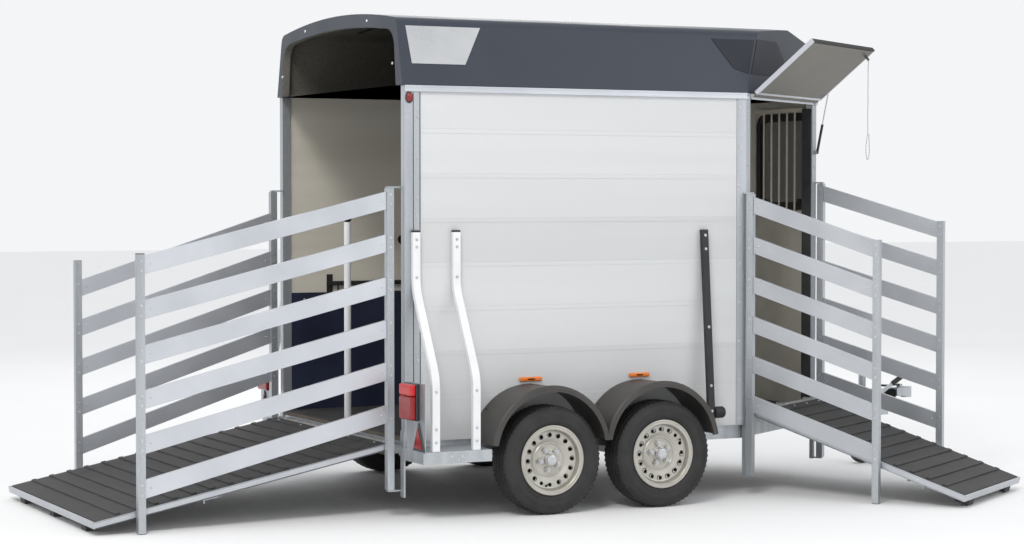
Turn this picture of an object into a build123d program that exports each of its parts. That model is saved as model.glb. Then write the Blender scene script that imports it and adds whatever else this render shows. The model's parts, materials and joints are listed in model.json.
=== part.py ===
"""Tandem-axle livestock trailer with a rear ramp, a side ramp in its tapered nose and swinging drive gates.

Frame: +X forwards, +Y to the trailer's left, +Z up, in millimetres. The origin is the centre of the tow
ball that the coupling takes, on the trailer's centre plane.
"""

from build123d import *
import os
from math import atan2, cos, degrees, hypot, pi, radians, sin, tan

# ---------------------------------------------------------------- driving sizes
# body shell
ball_height = 450  # tow ball centre above the ground
drawbar_reach = 942  # from the nose face to the ball centre
body_width = 1840
straight_length = 2170  # the parallel part of the body, behind the tapered nose
nose_side = 1065  # length of each slanting nose wall
nose_angle = 33.5  # degrees between a slanting nose wall and the centre plane
sill_height = 410  # underside of the walls
eave_height = 2350
wall = 25
post_flange = 60
post_proud = 4
fit_gap = 0.5  # between pieces that only lie beside each other

# chassis
rail_height = 80
rail_width = 60
cross_member_width = 50
deck_thickness = 20
mat_thickness = 8

# roof
roof_skin = 5
roof_lip = 12  # how far the roof stands outside the walls
roof_hem = 2338  # height of the roof's lower edge
shoulder_height = 2705
shoulder_inset = 70
shoulder_blend = 60  # radius between the roof's side and its crown
crown_height = 2768
rear_overhang = 15
rear_rim_depth = 90
rear_rim_length = 45

# wheels
wheel_radius = 298
tyre_width = 186
rim_radius = 190
wheel_outset = 180  # from a wall to its tyres' centre plane
axle_spacing = 700
axle_setback = 1120  # from the rear posts to midway between the axles
hub_radius = 78
vent_count = 16
vent_radius = 11
stud_count = 5

# mudguards and side gear
guard_clearance = 62
guard_skin = 5
guard_reach = 298  # outwards from a wall
bracket_reach = 280
bracket_length = 390
bracket_height = 64
bar_width = 45
bar_depth = 28
bar_top_height = 1545

# ramps
rear_ramp_length = 1700
ramp_side_gap = 78  # from a side wall's face to the rear ramp's edge
rear_ramp_tilt = 11.3  # degrees below level when it is down
rear_hinge_height = 392
side_ramp_length = 1356
side_ramp_gap = 32.5  # from a corner of the slanting wall to the side ramp's edge
side_ramp_tilt = 18.3
side_hinge_height = 486
ramp_frame = 34
ramp_mat = 6
cleat_height = 14
hinge_radius = 11

# gates
gate_pitch = 231
gate_rail_height = 96
gate_rail_thickness = 22
gate_stile = 40
gate_pin_radius = 8
right_gate_length = 1395
right_gate_drop = 340  # how far the top rail falls along the gate
left_gate_length = 1215
left_gate_drop = 398
side_gate_length = 775
near_gate_drop = 258
far_gate_drop = 228

# flap
flap_length = 500
flap_gap = 44.5  # from a corner of the slanting wall to the flap's hinge pin end
flap_thickness = 22
flap_rest_angle = 40  # degrees above level, held up by the gas strut
cord_diameter = 5

# ---------------------------------------------------------------- derived places
ground = -ball_height
nose_depth = nose_side * cos(radians(nose_angle))
nose_inset = nose_side * sin(radians(nose_angle))
half_width = body_width / 2
nose_x = -drawbar_reach
shoulder_x = nose_x - nose_depth
rear_x = shoulder_x - straight_length
nose_half = half_width - nose_inset
sill_z = ground + sill_height
eave_z = ground + eave_height
deck_top = sill_z + deck_thickness
floor_top = deck_top + mat_thickness
wheel_z = ground + wheel_radius
wheel_track = body_width + 2 * wheel_outset
axle_centre_x = rear_x + axle_setback
axle_xs = (axle_centre_x - axle_spacing / 2, axle_centre_x + axle_spacing / 2)
guard_outer_y = half_width + guard_reach
bracket_outer_y = half_width + bracket_reach
rear_ramp_half = half_width - ramp_side_gap
side_ramp_half = nose_side / 2 - side_ramp_gap
flap_half = nose_side / 2 - flap_gap
along = Vector(cos(radians(nose_angle)), sin(radians(nose_angle)))  # along the right slanting wall
outward = Vector(sin(radians(nose_angle)), -cos(radians(nose_angle)))
rear_corner = Vector(rear_x, -half_width)
side_corner = Vector(shoulder_x, -half_width)
nose_corner = Vector(nose_x, -nose_half)

os.makedirs("parts", exist_ok=True)


def save(solid, name):
    """Labels a finished piece and writes it to its own file."""
    solid.label = name
    export_step(solid, f"parts/{name}.step")


def mirrored(point):
    """The same point on the trailer's left side."""
    return Vector(point.X, -point.Y)


def shifted(points, distance):
    """A polyline moved sideways by distance, to its right, with mitred corners."""
    normals = []
    for a, b in zip(points, points[1:]):
        step = (b - a).normalized()
        normals.append(Vector(step.Y, -step.X))
    moved = [points[0] + normals[0] * distance]
    for before, point, after in zip(normals, points[1:], normals[1:]):
        bisector = (before + after).normalized()
        moved.append(point + bisector * (distance / bisector.dot(before)))
    moved.append(points[-1] + normals[-1] * distance)
    return moved


def strip(points, outside, inside):
    """The corners of a wall plan that follows points, outside and inside being its two offsets."""
    return shifted(points, outside) + list(reversed(shifted(points, -inside)))


def polygon(points):
    """Adds a filled polygon to the open sketch."""
    Polygon(*[(p.X, p.Y) for p in points], align=None)


def block(x0, x1, y0, y1, z0, z1, mode=Mode.ADD):
    """Adds a block between two corners to the open part."""
    with Locations(((x0 + x1) / 2, (y0 + y1) / 2, (z0 + z1) / 2)):
        Box(x1 - x0, y1 - y0, z1 - z0, mode=mode)


def rod(start, end, radius, mode=Mode.ADD):
    """Adds a round bar between two points to the open part."""
    start, end = Vector(start), Vector(end)
    with Locations(Plane(origin=start, z_dir=end - start)):
        Cylinder(radius, (end - start).length, align=(Align.CENTER, Align.CENTER, Align.MIN), mode=mode)


def upright(points, z0, z1, mode=Mode.ADD):
    """Adds an upright prism over a plan polygon to the open part."""
    with BuildSketch(Plane.XY.offset(z0), mode=Mode.PRIVATE) as plan:
        polygon(points)
    extrude(plan.sketch, amount=z1 - z0, mode=mode)


# ---------------------------------------------------------------- chassis
rail_y = half_width - wall - rail_width / 2
cross_xs = [rear_x + cross_member_width / 2 + 4, axle_xs[0], axle_xs[1], shoulder_x - 40]
rail_z0 = sill_z - rail_height
rail_z1 = sill_z - fit_gap
rear_hinge = Vector(rear_x - 36, 0, ground + rear_hinge_height)
side_centre = (side_corner + nose_corner) * 0.5
side_hinge = Vector(side_centre.X, side_centre.Y, ground + side_hinge_height) + outward * 34
lug_width = 24
pin_radius = 8
barrel_radius = 13
outer_lug_y = rear_ramp_half - 102
rear_lug_ys = (-outer_lug_y, -250, 250, outer_lug_y)
side_lug_ss = (80 - side_ramp_half, 0, side_ramp_half - 80)
lug_foot = min(rear_hinge.Z - 12, rail_z1 - 20)  # the rear lugs reach the chassis at any hinge height

with BuildPart() as chassis:
    for side in (-1, 1):
        y = side * rail_y
        block(rear_x + 4, shoulder_x, y - rail_width / 2, y + rail_width / 2, rail_z0, rail_z1)
    inner = rail_y - rail_width / 2 + 2
    for x in cross_xs:
        block(x - cross_member_width / 2, x + cross_member_width / 2, -inner, inner, rail_z0 + 10, rail_z1)
    for flip in (False, True):
        start = side_corner - outward * wall - along * 10
        end = nose_corner - outward * wall - along * 20
        plan = strip([start, end], 0, rail_width)
        upright([mirrored(p) for p in plan] if flip else plan, rail_z0, rail_z1)
    reach = nose_half - wall
    block(nose_x - 60, nose_x - 6, -reach, reach, rail_z0, rail_z1)
    for y in rear_lug_ys:
        block(rear_hinge.X, rear_x + 6, y - lug_width / 2, y + lug_width / 2, lug_foot, rear_hinge.Z + 12)
        rod((rear_hinge.X, y - lug_width / 2, rear_hinge.Z), (rear_hinge.X, y + lug_width / 2, rear_hinge.Z), 12)
    rod((rear_hinge.X, rear_lug_ys[0] - 40, rear_hinge.Z), (rear_hinge.X, rear_lug_ys[-1] + 40, rear_hinge.Z), pin_radius)
save(chassis.part, "chassis_frame")

outer_ring = [rear_corner, side_corner, nose_corner]
outer_ring += [mirrored(p) for p in reversed(outer_ring)]
post_inside = 16  # how far a corner post stands inside the wall's inner face
pole_x = rear_x + 55
pole_foot = 45


def floor_layer(clearance, z0, thickness, notch=0):
    """One sheet of the floor, cut clear of the walls, the corner posts and, by notch, the pole's foot."""
    inner_ring = shifted(outer_ring, -(wall + clearance))
    front = [p for p in inner_ring if p.X > rear_x + 500]
    rear = rear_x + 8
    edge = half_width - wall - clearance
    with BuildPart() as sheet:
        upright([Vector(rear, -edge), *front, Vector(rear, edge)], z0, z0 + thickness)
        if notch:
            block(rear - 1, pole_x + notch, -notch, notch, z0 - 1, z0 + thickness + 1, mode=Mode.SUBTRACT)
    return sheet.part


save(floor_layer(post_inside + 1, sill_z, deck_thickness), "floor_deck")
save(floor_layer(post_inside + 4, deck_top + 0.2, mat_thickness, pole_foot + 2), "floor_mat")

# ---------------------------------------------------------------- posts and walls
rear_post_length = 52
rear_post_flange = 92
rear_gate_pin = Vector(rear_x - 67, half_width - 48)
gate_pin_gap = 1.5  # between a gate's stile and the lugs above and below it
rear_gate_stile = (ground + 150, ground + 1782)  # foot and head of the right gate's hinge stile
left_gate_stile = (ground + 150, ground + 1765)
side_gate_stiles = ((ground + 120, ground + 1752), (ground + 120, ground + 1818))
gate_lug = 8  # thickness of a gate hinge's lugs
trim_height = 34
post_top = ground + roof_hem - trim_height - 1


def gate_lugs(pin, anchor, across, stile):
    """Adds the two lugs and stub pins that carry a gate to the open part."""
    direction = (Vector(pin.X, pin.Y) - anchor).normalized()
    side = Vector(-direction.Y, direction.X) * (across / 2)
    end = Vector(pin.X, pin.Y) + direction * 14
    for z0, z1, pin_z in (
        (stile[0] - gate_pin_gap - gate_lug, stile[0] - gate_pin_gap, stile[0] + 50),
        (stile[1] + gate_pin_gap, stile[1] + gate_pin_gap + gate_lug, stile[1] - 50),
    ):
        upright([anchor - side, end - side, end + side, anchor + side], z0, z1)
        rod((pin.X, pin.Y, (z0 + z1) / 2), (pin.X, pin.Y, pin_z), gate_pin_radius)


def rear_post(side, stile):
    """Adds a galvanised rear corner post to the open part: a box section, a flange and a tail plate."""
    face = side * (half_width + post_proud)
    inner = side * (half_width - wall - post_inside)
    x1 = rear_x + rear_post_length
    block(rear_x, x1, *sorted((side * half_width, inner)), sill_z, ground + roof_hem - fit_gap)
    block(rear_x, x1, *sorted((face, side * half_width)), sill_z, post_top)
    flange = (side * (half_width + 0.2), face)
    block(x1, rear_x + rear_post_flange, *sorted(flange), sill_z, post_top)
    block(rear_x - 6, rear_x + 3.5, *sorted((face, inner)), ground + 110, sill_z + 60)
    pin = Vector(rear_gate_pin.X, side * rear_gate_pin.Y)
    gate_lugs(pin, Vector(rear_x + 2, pin.Y), 34, stile)


with BuildPart() as rear_posts:
    rear_post(-1, rear_gate_stile)
    rear_post(1, left_gate_stile)
save(rear_posts.part, "rear_posts")

door_post = 60  # width of the side doorway's posts along the slanting wall
front_flange = 28
door_header_z = ground + 2318
sill_top_z = ground + 452
flap_hinge = Vector(side_centre.X, side_centre.Y, ground + 2326) + outward * 30
flap_pin_radius = 5
strut_foot_out = 22  # the gas strut's lower pin, outwards from the wall line
strut_z = ground + 2010
strut_pin_radius = 4
side_mid = Vector(side_centre.X, side_centre.Y)
side_gate_pins = (side_corner + outward * 38 - along * 4, nose_corner + outward * 38 + along * 4)

with BuildPart() as doorway:
    a_points = [side_corner - Vector(post_flange, 0), side_corner, side_corner + along * door_post]
    b_points = [nose_corner - along * door_post, nose_corner, nose_corner + Vector(0, front_flange)]
    shoulder_points = [mirrored(p) for p in reversed(a_points)]
    for points in (a_points, b_points, shoulder_points):
        upright(strip(points, 0, wall + post_inside), sill_z, eave_z)
        upright(strip(points, post_proud, 0), sill_z, post_top)
    span = [side_corner + along * door_post, nose_corner - along * door_post]
    upright(strip(span, 0, wall + post_inside), door_header_z, eave_z)
    upright(strip(span, 0, wall + post_inside - 4), sill_z, sill_top_z)
    for pin, corner, stile in zip(side_gate_pins, (side_corner, nose_corner), side_gate_stiles):
        gate_lugs(pin, Vector(pin.X, pin.Y) - outward * 40, 30, stile)
    for corner in (side_corner + along * 20, nose_corner - along * 20):
        foot = strip([corner - along * 16, corner + along * 16], 3, wall - 7)
        upright(foot, ground + 110, sill_z)
    for s in side_lug_ss:
        centre = Vector(side_hinge.X, side_hinge.Y) + along * s
        half = along * (lug_width / 2)
        back = centre - outward * 37
        upright([centre - half, centre + half, back + half, back - half], side_hinge.Z - 12, side_hinge.Z + 12)
        if sill_top_z < side_hinge.Z + 12:
            foot = strip([back + outward * 1 - half, back + outward * 1 + half], 2, wall)
            upright(foot, sill_z, side_hinge.Z + 12)
        ends = (centre - half, centre + half)
        rod(*[(p.X, p.Y, side_hinge.Z) for p in ends], 12)
    ends = [Vector(side_hinge.X, side_hinge.Y) + along * s for s in (40 - side_ramp_half, side_ramp_half - 40)]
    rod(*[(p.X, p.Y, side_hinge.Z) for p in ends], pin_radius)
    for s in (-flap_half, flap_half):
        centre = Vector(flap_hinge.X, flap_hinge.Y) + along * s
        half = along * (4 if s > 0 else -4)
        back = centre - outward * 33
        upright([centre, centre + half, back + half, back], flap_hinge.Z - 12, flap_hinge.Z + 8)
    ends = [Vector(flap_hinge.X, flap_hinge.Y) + along * s for s in (-flap_half, flap_half)]
    rod(*[(p.X, p.Y, flap_hinge.Z) for p in ends], flap_pin_radius)
    tab = side_mid + outward * strut_foot_out + along * (flap_half + 10)
    upright([tab - along * 8, tab, tab - outward * 19, tab - along * 8 - outward * 19], strut_z - 14, strut_z + 14)
    rod((tab.X, tab.Y, strut_z), (tab.X + along.X * 15, tab.Y + along.Y * 15, strut_z), strut_pin_radius)
save(doorway.part, "doorway_frame")

plank_pitch = 242


def side_wall(side):
    """An insulated plank wall, with a narrow groove at each plank joint on its outer face."""
    x0 = rear_x + rear_post_length + fit_gap
    x1 = shoulder_x - post_flange - fit_gap
    y_out = side * half_width
    with BuildPart() as panel:
        with BuildSketch(Plane.YZ.offset(x0)):
            with Locations((y_out - side * wall / 2, (sill_z + eave_z) / 2)):
                Rectangle(wall, eave_z - sill_z)
            joints = int((eave_z - sill_z) / plank_pitch)
            with Locations(*[(y_out, sill_z + plank_pitch * (i + 0.9)) for i in range(joints)]):
                Rectangle(3, 3, mode=Mode.SUBTRACT)
        extrude(amount=x1 - x0)
    return panel.part


save(side_wall(-1), "side_wall_right")
save(side_wall(1), "side_wall_left")

window_width = 556
window_height = 578
window_bottom = 1668
window_radius = 70
window_z = ground + window_bottom + window_height / 2
seal_width = 34

with BuildPart() as nose:
    left_start = mirrored(side_corner + along * (door_post + fit_gap))
    tip = mirrored(nose_corner)
    front_end = nose_corner + Vector(0, front_flange + fit_gap)
    ring = [front_end, tip, left_start]
    upright(strip(ring, 0, wall), sill_z, eave_z)
    with BuildSketch(Plane.YZ.offset(nose_x - wall - 5)):
        with Locations((0, window_z)):
            RectangleRounded(window_width, window_height, window_radius)
    extrude(amount=wall + 10, mode=Mode.SUBTRACT)
save(nose.part, "nose_walls")


def window_ring(grow_out, grow_in, x0, length, mode=Mode.ADD):
    """Adds a rounded ring or, with no inner size, a rounded plate that follows the window's cut-out."""
    with BuildSketch(Plane.YZ.offset(x0), mode=Mode.PRIVATE) as ring_plan:
        with Locations((0, window_z)):
            width, height = window_width + 2 * grow_out, window_height + 2 * grow_out
            RectangleRounded(width, height, window_radius + grow_out)
            if grow_in is not None:
                width, height = window_width - 2 * grow_in, window_height - 2 * grow_in
                RectangleRounded(width, height, window_radius - grow_in, mode=Mode.SUBTRACT)
    extrude(ring_plan.sketch, amount=length, mode=mode)


pane_thickness = 5
seal_lip = 6
seal_lap = 14
pane_x = nose_x - wall / 2 - pane_thickness / 2

with BuildPart() as seal:
    window_ring(-0.4, seal_width, nose_x - wall - 0.3, wall + 0.6)
    window_ring(seal_lap, seal_width, nose_x - wall - seal_lip - 0.3, seal_lip)
    window_ring(seal_lap, seal_width, nose_x + 0.3, seal_lip)
    window_ring(-seal_width + 12, None, pane_x - 0.2, pane_thickness + 0.4, mode=Mode.SUBTRACT)
save(seal.part, "window_seal")

with BuildPart() as pane:
    window_ring(-seal_width + 11.5, None, pane_x, pane_thickness)
save(pane.part, "window_pane")

bar_count = 5
bar_pitch = 88
guard_bar_radius = 6
guard_x = nose_x - wall - 24

with BuildPart() as guard:
    for z in (window_z - window_height / 2 - 32, window_z + window_height / 2 + 32):
        block(guard_x - 6, guard_x + 6, -270, 270, z - 12, z + 12)
        for y in (-230, 230):
            block(guard_x, nose_x - wall - 0.3, y - 12, y + 12, z - 12, z + 12)
    for i in range(bar_count):
        y = (i - (bar_count - 1) / 2) * bar_pitch
        low = (guard_x, y, window_z - window_height / 2 - 40)
        rod(low, (guard_x, y, window_z + window_height / 2 + 40), guard_bar_radius)
save(guard.part, "window_guard")

trim_reach = 13  # how far the trim stands outside the walls

with BuildPart() as trim:
    first = Vector(rear_x + 2, -half_width)
    trim_line = [first, side_corner, nose_corner, mirrored(nose_corner), mirrored(side_corner), mirrored(first)]
    upright(strip(trim_line, trim_reach, -0.3), post_top + 0.5, ground + roof_hem - 0.5)
    groove_z = post_top + trim_height * 0.42
    upright(strip(trim_line, trim_reach + 1, -trim_reach + 3), groove_z, groove_z + 10, mode=Mode.SUBTRACT)
    for s in (-flap_half, flap_half):
        centre = Vector(flap_hinge.X, flap_hinge.Y) + along * s
        ends = [centre - along * 8, centre + along * 8]
        upright(strip(ends, 20, 60), post_top, ground + roof_hem, mode=Mode.SUBTRACT)
save(trim.part, "eave_trims")

# ---------------------------------------------------------------- roof
nose_blend = 60  # radius of the roof's front corners in plan
roof_rear = rear_x - rear_overhang
nose_roof_end = nose_x + 34


def roof_section(inset):
    """The roof's cross-section, made smaller by inset on every side but the hem."""
    edge = half_width + roof_lip - inset
    shoulder = half_width - shoulder_inset - inset
    hem = ground + roof_hem
    with BuildSketch() as section:
        with BuildLine():
            left = Line((-edge, hem), (-shoulder, ground + shoulder_height - inset))
            top = (0, ground + crown_height - inset)
            crown = ThreePointArc(left @ 1, top, (shoulder, ground + shoulder_height - inset))
            right = Line(crown @ 1, (edge, hem))
            Line(right @ 1, left @ 0)
        make_face()
        corners = [v for v in section.vertices() if v.Y > hem + 100]
        fillet(corners, shoulder_blend - inset)
    return section.sketch


def roof_form(inset):
    """The roof's outer or inner form: its cross-section, cut by its plan and by its profile from the side."""
    with BuildPart() as form:
        with BuildSketch(Plane.YZ.offset(roof_rear + inset)):
            add(roof_section(inset))
        extrude(amount=nose_roof_end - roof_rear + 200)
        with BuildSketch(Plane.XY):
            grow = roof_lip - inset
            right = shifted([Vector(roof_rear - 200, -half_width), side_corner, nose_corner, Vector(nose_x, 0)], grow)
            left = [mirrored(p) for p in reversed(right)]
            polygon([*right[:-1], *left[1:]])
            fillet(vertices().group_by(Axis.X)[-1], nose_blend - inset)
        extrude(amount=crown_height * 2, both=True, mode=Mode.INTERSECT)
        with BuildSketch(Plane.XZ):
            top = ground + crown_height + 20 - inset
            front = nose_roof_end - inset
            with BuildLine():
                base = Line((roof_rear - 10, ground + 2000), (roof_rear - 10 + inset, top))
                flat = Line(base @ 1, (shoulder_x + 60, top))
                brow = Spline(
                    flat @ 1,
                    (front - 210, ground + crown_height - 88 - inset),
                    (front, ground + 2520),
                    tangents=((1, 0), (0.18, -1)),
                )
                drop = Line(brow @ 1, (front, ground + 2000))
                Line(drop @ 1, base @ 0)
            make_face()
        extrude(amount=half_width * 2, both=True, mode=Mode.INTERSECT)
    return form.part


def rim_opening():
    """The arched opening inside the roof's rear rim."""
    edge = half_width + roof_lip - rear_rim_depth
    shoulder = edge - 30
    low = ground + roof_hem - 10
    high = ground + shoulder_height - rear_rim_depth + 25
    with BuildSketch() as opening:
        with BuildLine():
            left = Line((-edge, low), (-shoulder, high))
            crown = ThreePointArc(left @ 1, (0, ground + crown_height - 78), (shoulder, high))
            right = Line(crown @ 1, (edge, low))
            Line(right @ 1, left @ 0)
        make_face()
        fillet([v for v in opening.vertices() if v.Y > low + 100], 110)
    return opening.sketch


with BuildPart() as roof:
    add(roof_form(0))
    add(roof_form(roof_skin), mode=Mode.SUBTRACT)
    block(roof_rear - 300, nose_x + 400, -1200, 1200, ground + 1900, ground + roof_hem, mode=Mode.SUBTRACT)
    with BuildSketch(Plane.YZ.offset(roof_rear - 1)):
        add(roof_section(roof_skin))
    extrude(amount=roof_skin + 3, mode=Mode.SUBTRACT)
    with BuildSketch(Plane.YZ.offset(roof_rear)):
        add(roof_section(2))
        add(rim_opening(), mode=Mode.SUBTRACT)
    extrude(amount=rear_rim_length)
save(roof.part, "roof_shell")

# ---------------------------------------------------------------- running gear
hub_back = 40  # how far the hub drum reaches inboard of the wheel's centre plane
stub_radius = 20
running_gap = 0.05
beam_height = 79
beam_half = wheel_track / 2 - 115


def wheel_rim():
    """A pressed steel wheel about the Y axis, outboard side towards +Y, with its hub drum."""
    profile = [
        (168, -74), (190, -76), (190, -71), (179.7, -68), (179.7, 68), (190, 71), (190, 76), (168, 74),
        (166, 44), (152, 47), (120, 43), (98, 30), (66, 28), (34, 34), (34, 56), (20 + running_gap, 56),
        (20 + running_gap, -hub_back), (hub_radius, -hub_back), (hub_radius, 18), (98, 22), (122, 35),
        (150, 39), (168, 34),
    ]
    with BuildPart() as rim:
        with BuildSketch():
            Polygon(*profile, align=None)
        revolve(axis=Axis.Y)
        with Locations((0, 59, 0)):
            Cylinder(34, 6, rotation=(90, 0, 0))
        with BuildSketch(Plane.XZ.offset(-90)):
            with PolarLocations(137, vent_count):
                Circle(vent_radius)
        extrude(amount=80, mode=Mode.SUBTRACT)
        with BuildSketch(Plane.XZ.offset(-24)):
            with PolarLocations(56, stud_count):
                RegularPolygon(11, 6)
        extrude(amount=-18)
    return rim.part


def wheel_tyre():
    """A radial tyre about the Y axis, open on the inside where the rim closes it."""
    outer = [(180, 67), (190.6, 70), (196, 73), (208, 85), (236, 93), (264, 91), (288, 80), (298, 64)]
    inner = [(282, 52), (278, 68), (258, 80), (236, 82), (214, 74), (196, 60), (180, 55)]
    left = outer + [(r, -y) for r, y in reversed(outer)]
    right = [(r, -y) for r, y in reversed(inner)] + inner
    with BuildPart() as tyre:
        with BuildSketch():
            Polygon(*left, *right, align=None)
        revolve(axis=Axis.Y)
    return tyre.part


rim_form, tyre_form = wheel_rim(), wheel_tyre()
for end, wheel_x in zip(("rear", "front"), axle_xs):
    for side, sign in (("right", -1), ("left", 1)):
        for form, kind in ((rim_form, "rim"), (tyre_form, "tyre")):
            with BuildPart() as wheel:
                with Locations(Pos(wheel_x, sign * wheel_track / 2, wheel_z) * Rot(0, 0, 0 if sign > 0 else 180)):
                    add(form)
            save(wheel.part, f"{kind}_{end}_{side}")

with BuildPart() as axles:
    for x in axle_xs:
        block(x - 40, x + 40, -beam_half, beam_half, rail_z0 - fit_gap - beam_height, rail_z0 - fit_gap)
        for sign in (-1, 1):
            shoulder = sign * (wheel_track / 2 - hub_back - 0.5)
            rod((x, sign * (beam_half - 5), wheel_z), (x, shoulder, wheel_z), 30)
            rod((x, shoulder, wheel_z), (x, sign * (wheel_track / 2 + 50), wheel_z), stub_radius)
save(axles.part, "axle_beams")

# ---------------------------------------------------------------- mudguards and side gear
guard_top = 402  # top of a mudguard above the wheel's centre
guard_foot = 100
guard_half = 352
guard_radius = (guard_half**2 + (guard_top - guard_foot) ** 2) / (2 * (guard_top - guard_foot))
guard_centre_z = wheel_z + guard_top - guard_radius
guard_shift = -20  # the arches stand a little behind the wheels' centres


def guard_arches(y0, y1, outside, inside):
    """Adds the double arch between two radii to the open part, from y0 to y1."""
    with BuildSketch(Plane.XZ, mode=Mode.PRIVATE) as arches:
        centres = [(x + guard_shift, guard_centre_z) for x in axle_xs]
        with Locations(*centres):
            Circle(outside)
        with Locations(*centres):
            Circle(inside, mode=Mode.SUBTRACT)
        with Locations((axle_centre_x, wheel_z + guard_foot)):
            Rectangle(3000, 1000, align=(Align.CENTER, Align.MAX), mode=Mode.SUBTRACT)
    with Locations((0, y0, 0)):
        add(extrude(arches.sketch, amount=-(y1 - y0), mode=Mode.PRIVATE))


with BuildPart() as guards:
    for y0, y1 in ((half_width + 0.5, guard_outer_y), (-guard_outer_y, -half_width - 0.5)):
        guard_arches(y0, y1, guard_radius, guard_radius - guard_skin)
    for y0, y1 in ((guard_outer_y - 16, guard_outer_y), (-guard_outer_y, 16 - guard_outer_y)):
        guard_arches(y0, y1, guard_radius + 3, guard_radius - 24)
save(guards.part, "fenders")

bracket_x0 = rear_x - 16
plate = 4
lamp_z = (ground + 546, ground + 741)
lamp_y = (half_width + 72, half_width + 232)
lamp_depth = 50

with BuildPart() as wings:
    for sign in (-1, 1):
        inner, outer = sign * (half_width + post_proud + 0.5), sign * bracket_outer_y
        ys = sorted((inner, outer))
        x1 = bracket_x0 + bracket_length + 16
        z0, z1 = ground + 316, ground + 380
        block(bracket_x0, x1, *ys, z1 - plate, z1)
        block(bracket_x0, x1, *sorted((outer, outer - sign * plate)), z0, z1)
        block(bracket_x0, bracket_x0 + plate, *ys, z0, z1)
        block(x1 - plate, x1, *ys, z0, z1)
        board = sorted((sign * (half_width + 65), sign * (half_width + 302)))
        block(bracket_x0, bracket_x0 + plate, *board, z1 - plate, ground + 745)
save(wings.part, "wing_brackets")

with BuildPart() as tails:
    for sign in (-1, 1):
        x1 = bracket_x0 - 0.3
        block(x1 - lamp_depth, x1, *sorted((sign * lamp_y[0], sign * lamp_y[1])), *lamp_z)
        middle = half_width + 229
        base = [(sign * (middle - 71), ground + 384), (sign * (middle + 71), ground + 384)]
        corners = [*base, (sign * middle, ground + 538)]
        with BuildSketch(Plane.YZ.offset(x1 - 10)):
            Polygon(*corners, align=None)
        extrude(amount=10)
save(tails.part, "tail_lamps")

with BuildPart() as corner_lamps:
    for sign in (-1, 1):
        face = sign * (half_width + post_proud + 0.3)
        rod((rear_x + 28, face, ground + 2272), (rear_x + 28, face + sign * 14, ground + 2272), 19)
save(corner_lamps.part, "corner_lamps")

marker_xs = [(axle_centre_x + a, axle_centre_x + b) for a, b in ((-427, -287), (272, 403))]

with BuildPart() as markers:
    for sign in (-1, 1):
        for x0, x1 in marker_xs:
            ys = sorted((sign * (half_width + 0.3), sign * (half_width + 16)))
            block(x0, x1, *ys, ground + 714, ground + 737)
save(markers.part, "side_markers")

bar_bend = 250
bar_xs = (rear_x + 60, rear_x + 300)
front_bar_x = axle_centre_x + 760


def side_bar(x, points, width, depth, bend):
    """One rectangular bar that follows points in an upright plane across the trailer."""
    with BuildPart() as bar:
        with BuildLine(Plane.YZ.offset(x)) as path:
            if bend:
                FilletPolyline(*points, radius=bend)
            else:
                Polyline(*points)
        with BuildSketch(Plane(origin=path.wires()[0] @ 0, z_dir=path.wires()[0] % 0, x_dir=(1, 0, 0))):
            Rectangle(width, depth)
        sweep()
    return bar.part


wing_top = ground + 380.5
bar_y = half_width + post_proud + bar_depth / 2 + 0.5
bar_foot_y = bracket_outer_y - bar_depth / 2
bar_points = [
    (bar_y, ground + bar_top_height), (bar_y, ground + 1240), (bar_foot_y, ground + 770), (bar_foot_y, wing_top),
]
front_points = [(half_width + 16, ground + 1548), (half_width + 104, ground + 430)]
with BuildPart() as bars:
    for x in bar_xs:
        for sign in (-1, 1):
            add(side_bar(x, [(sign * y, z) for y, z in bar_points], bar_width, bar_depth, bar_bend))
save(bars.part, "deflector_bars")

with BuildPart() as front_bars:
    for sign in (-1, 1):
        add(side_bar(front_bar_x, [(sign * y, z) for y, z in front_points], 42, 26, None))
        ys = sorted((sign * (half_width + 0.5), sign * (half_width + 100)))
        block(front_bar_x - 18, front_bar_x + 18, *ys, ground + 434, ground + 462)
        y = sign * (half_width + 98)
        rod((front_bar_x + 18, y, ground + 500), (front_bar_x + 78, y, ground + 500), 32)
save(front_bars.part, "front_buffer_bars")

# ---------------------------------------------------------------- cabin
kick_height = 1150
kick_thickness = 12

with BuildPart() as kicks:
    for sign in (-1, 1):
        ys = sorted((sign * (half_width - wall - 0.3), sign * (half_width - wall - 0.3 - kick_thickness)))
        block(rear_x + rear_post_length + 8, shoulder_x - post_flange - 8, *ys, deck_top + 1, ground + kick_height)
save(kicks.part, "kick_boards")

pole_top = ground + 1590

with BuildPart() as pole:
    rod((pole_x, 0, deck_top + 0.3), (pole_x, 0, pole_top), 20)
    rod((pole_x, 0, deck_top + 0.3), (pole_x, 0, floor_top + 4), pole_foot)
    rod((pole_x, 0, pole_top), (pole_x, 0, pole_top + 14), 12)
    with Locations((pole_x, 0, pole_top + 26)):
        Sphere(24)
save(pole.part, "partition_post")

# ---------------------------------------------------------------- ramps
ramp_start = 18  # the panel begins this far from the hinge axis
ramp_top = 8  # panel's upper face above the hinge axis
ramp_under = -22
mat_top = ramp_top + 0.3 + ramp_mat
rear_cleats = 15
side_cleats = 12
foot_length = 80


def ramp_plane(hinge, reach, tilt):
    """A ramp's own plane: x down the slope from the hinge, z square to its walking face."""
    slope = Vector(reach.X * cos(radians(tilt)), reach.Y * cos(radians(tilt)), -sin(radians(tilt)))
    level = Vector(-reach.Y, reach.X, 0)
    return Plane(origin=hinge, x_dir=slope, z_dir=slope.cross(level))


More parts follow.
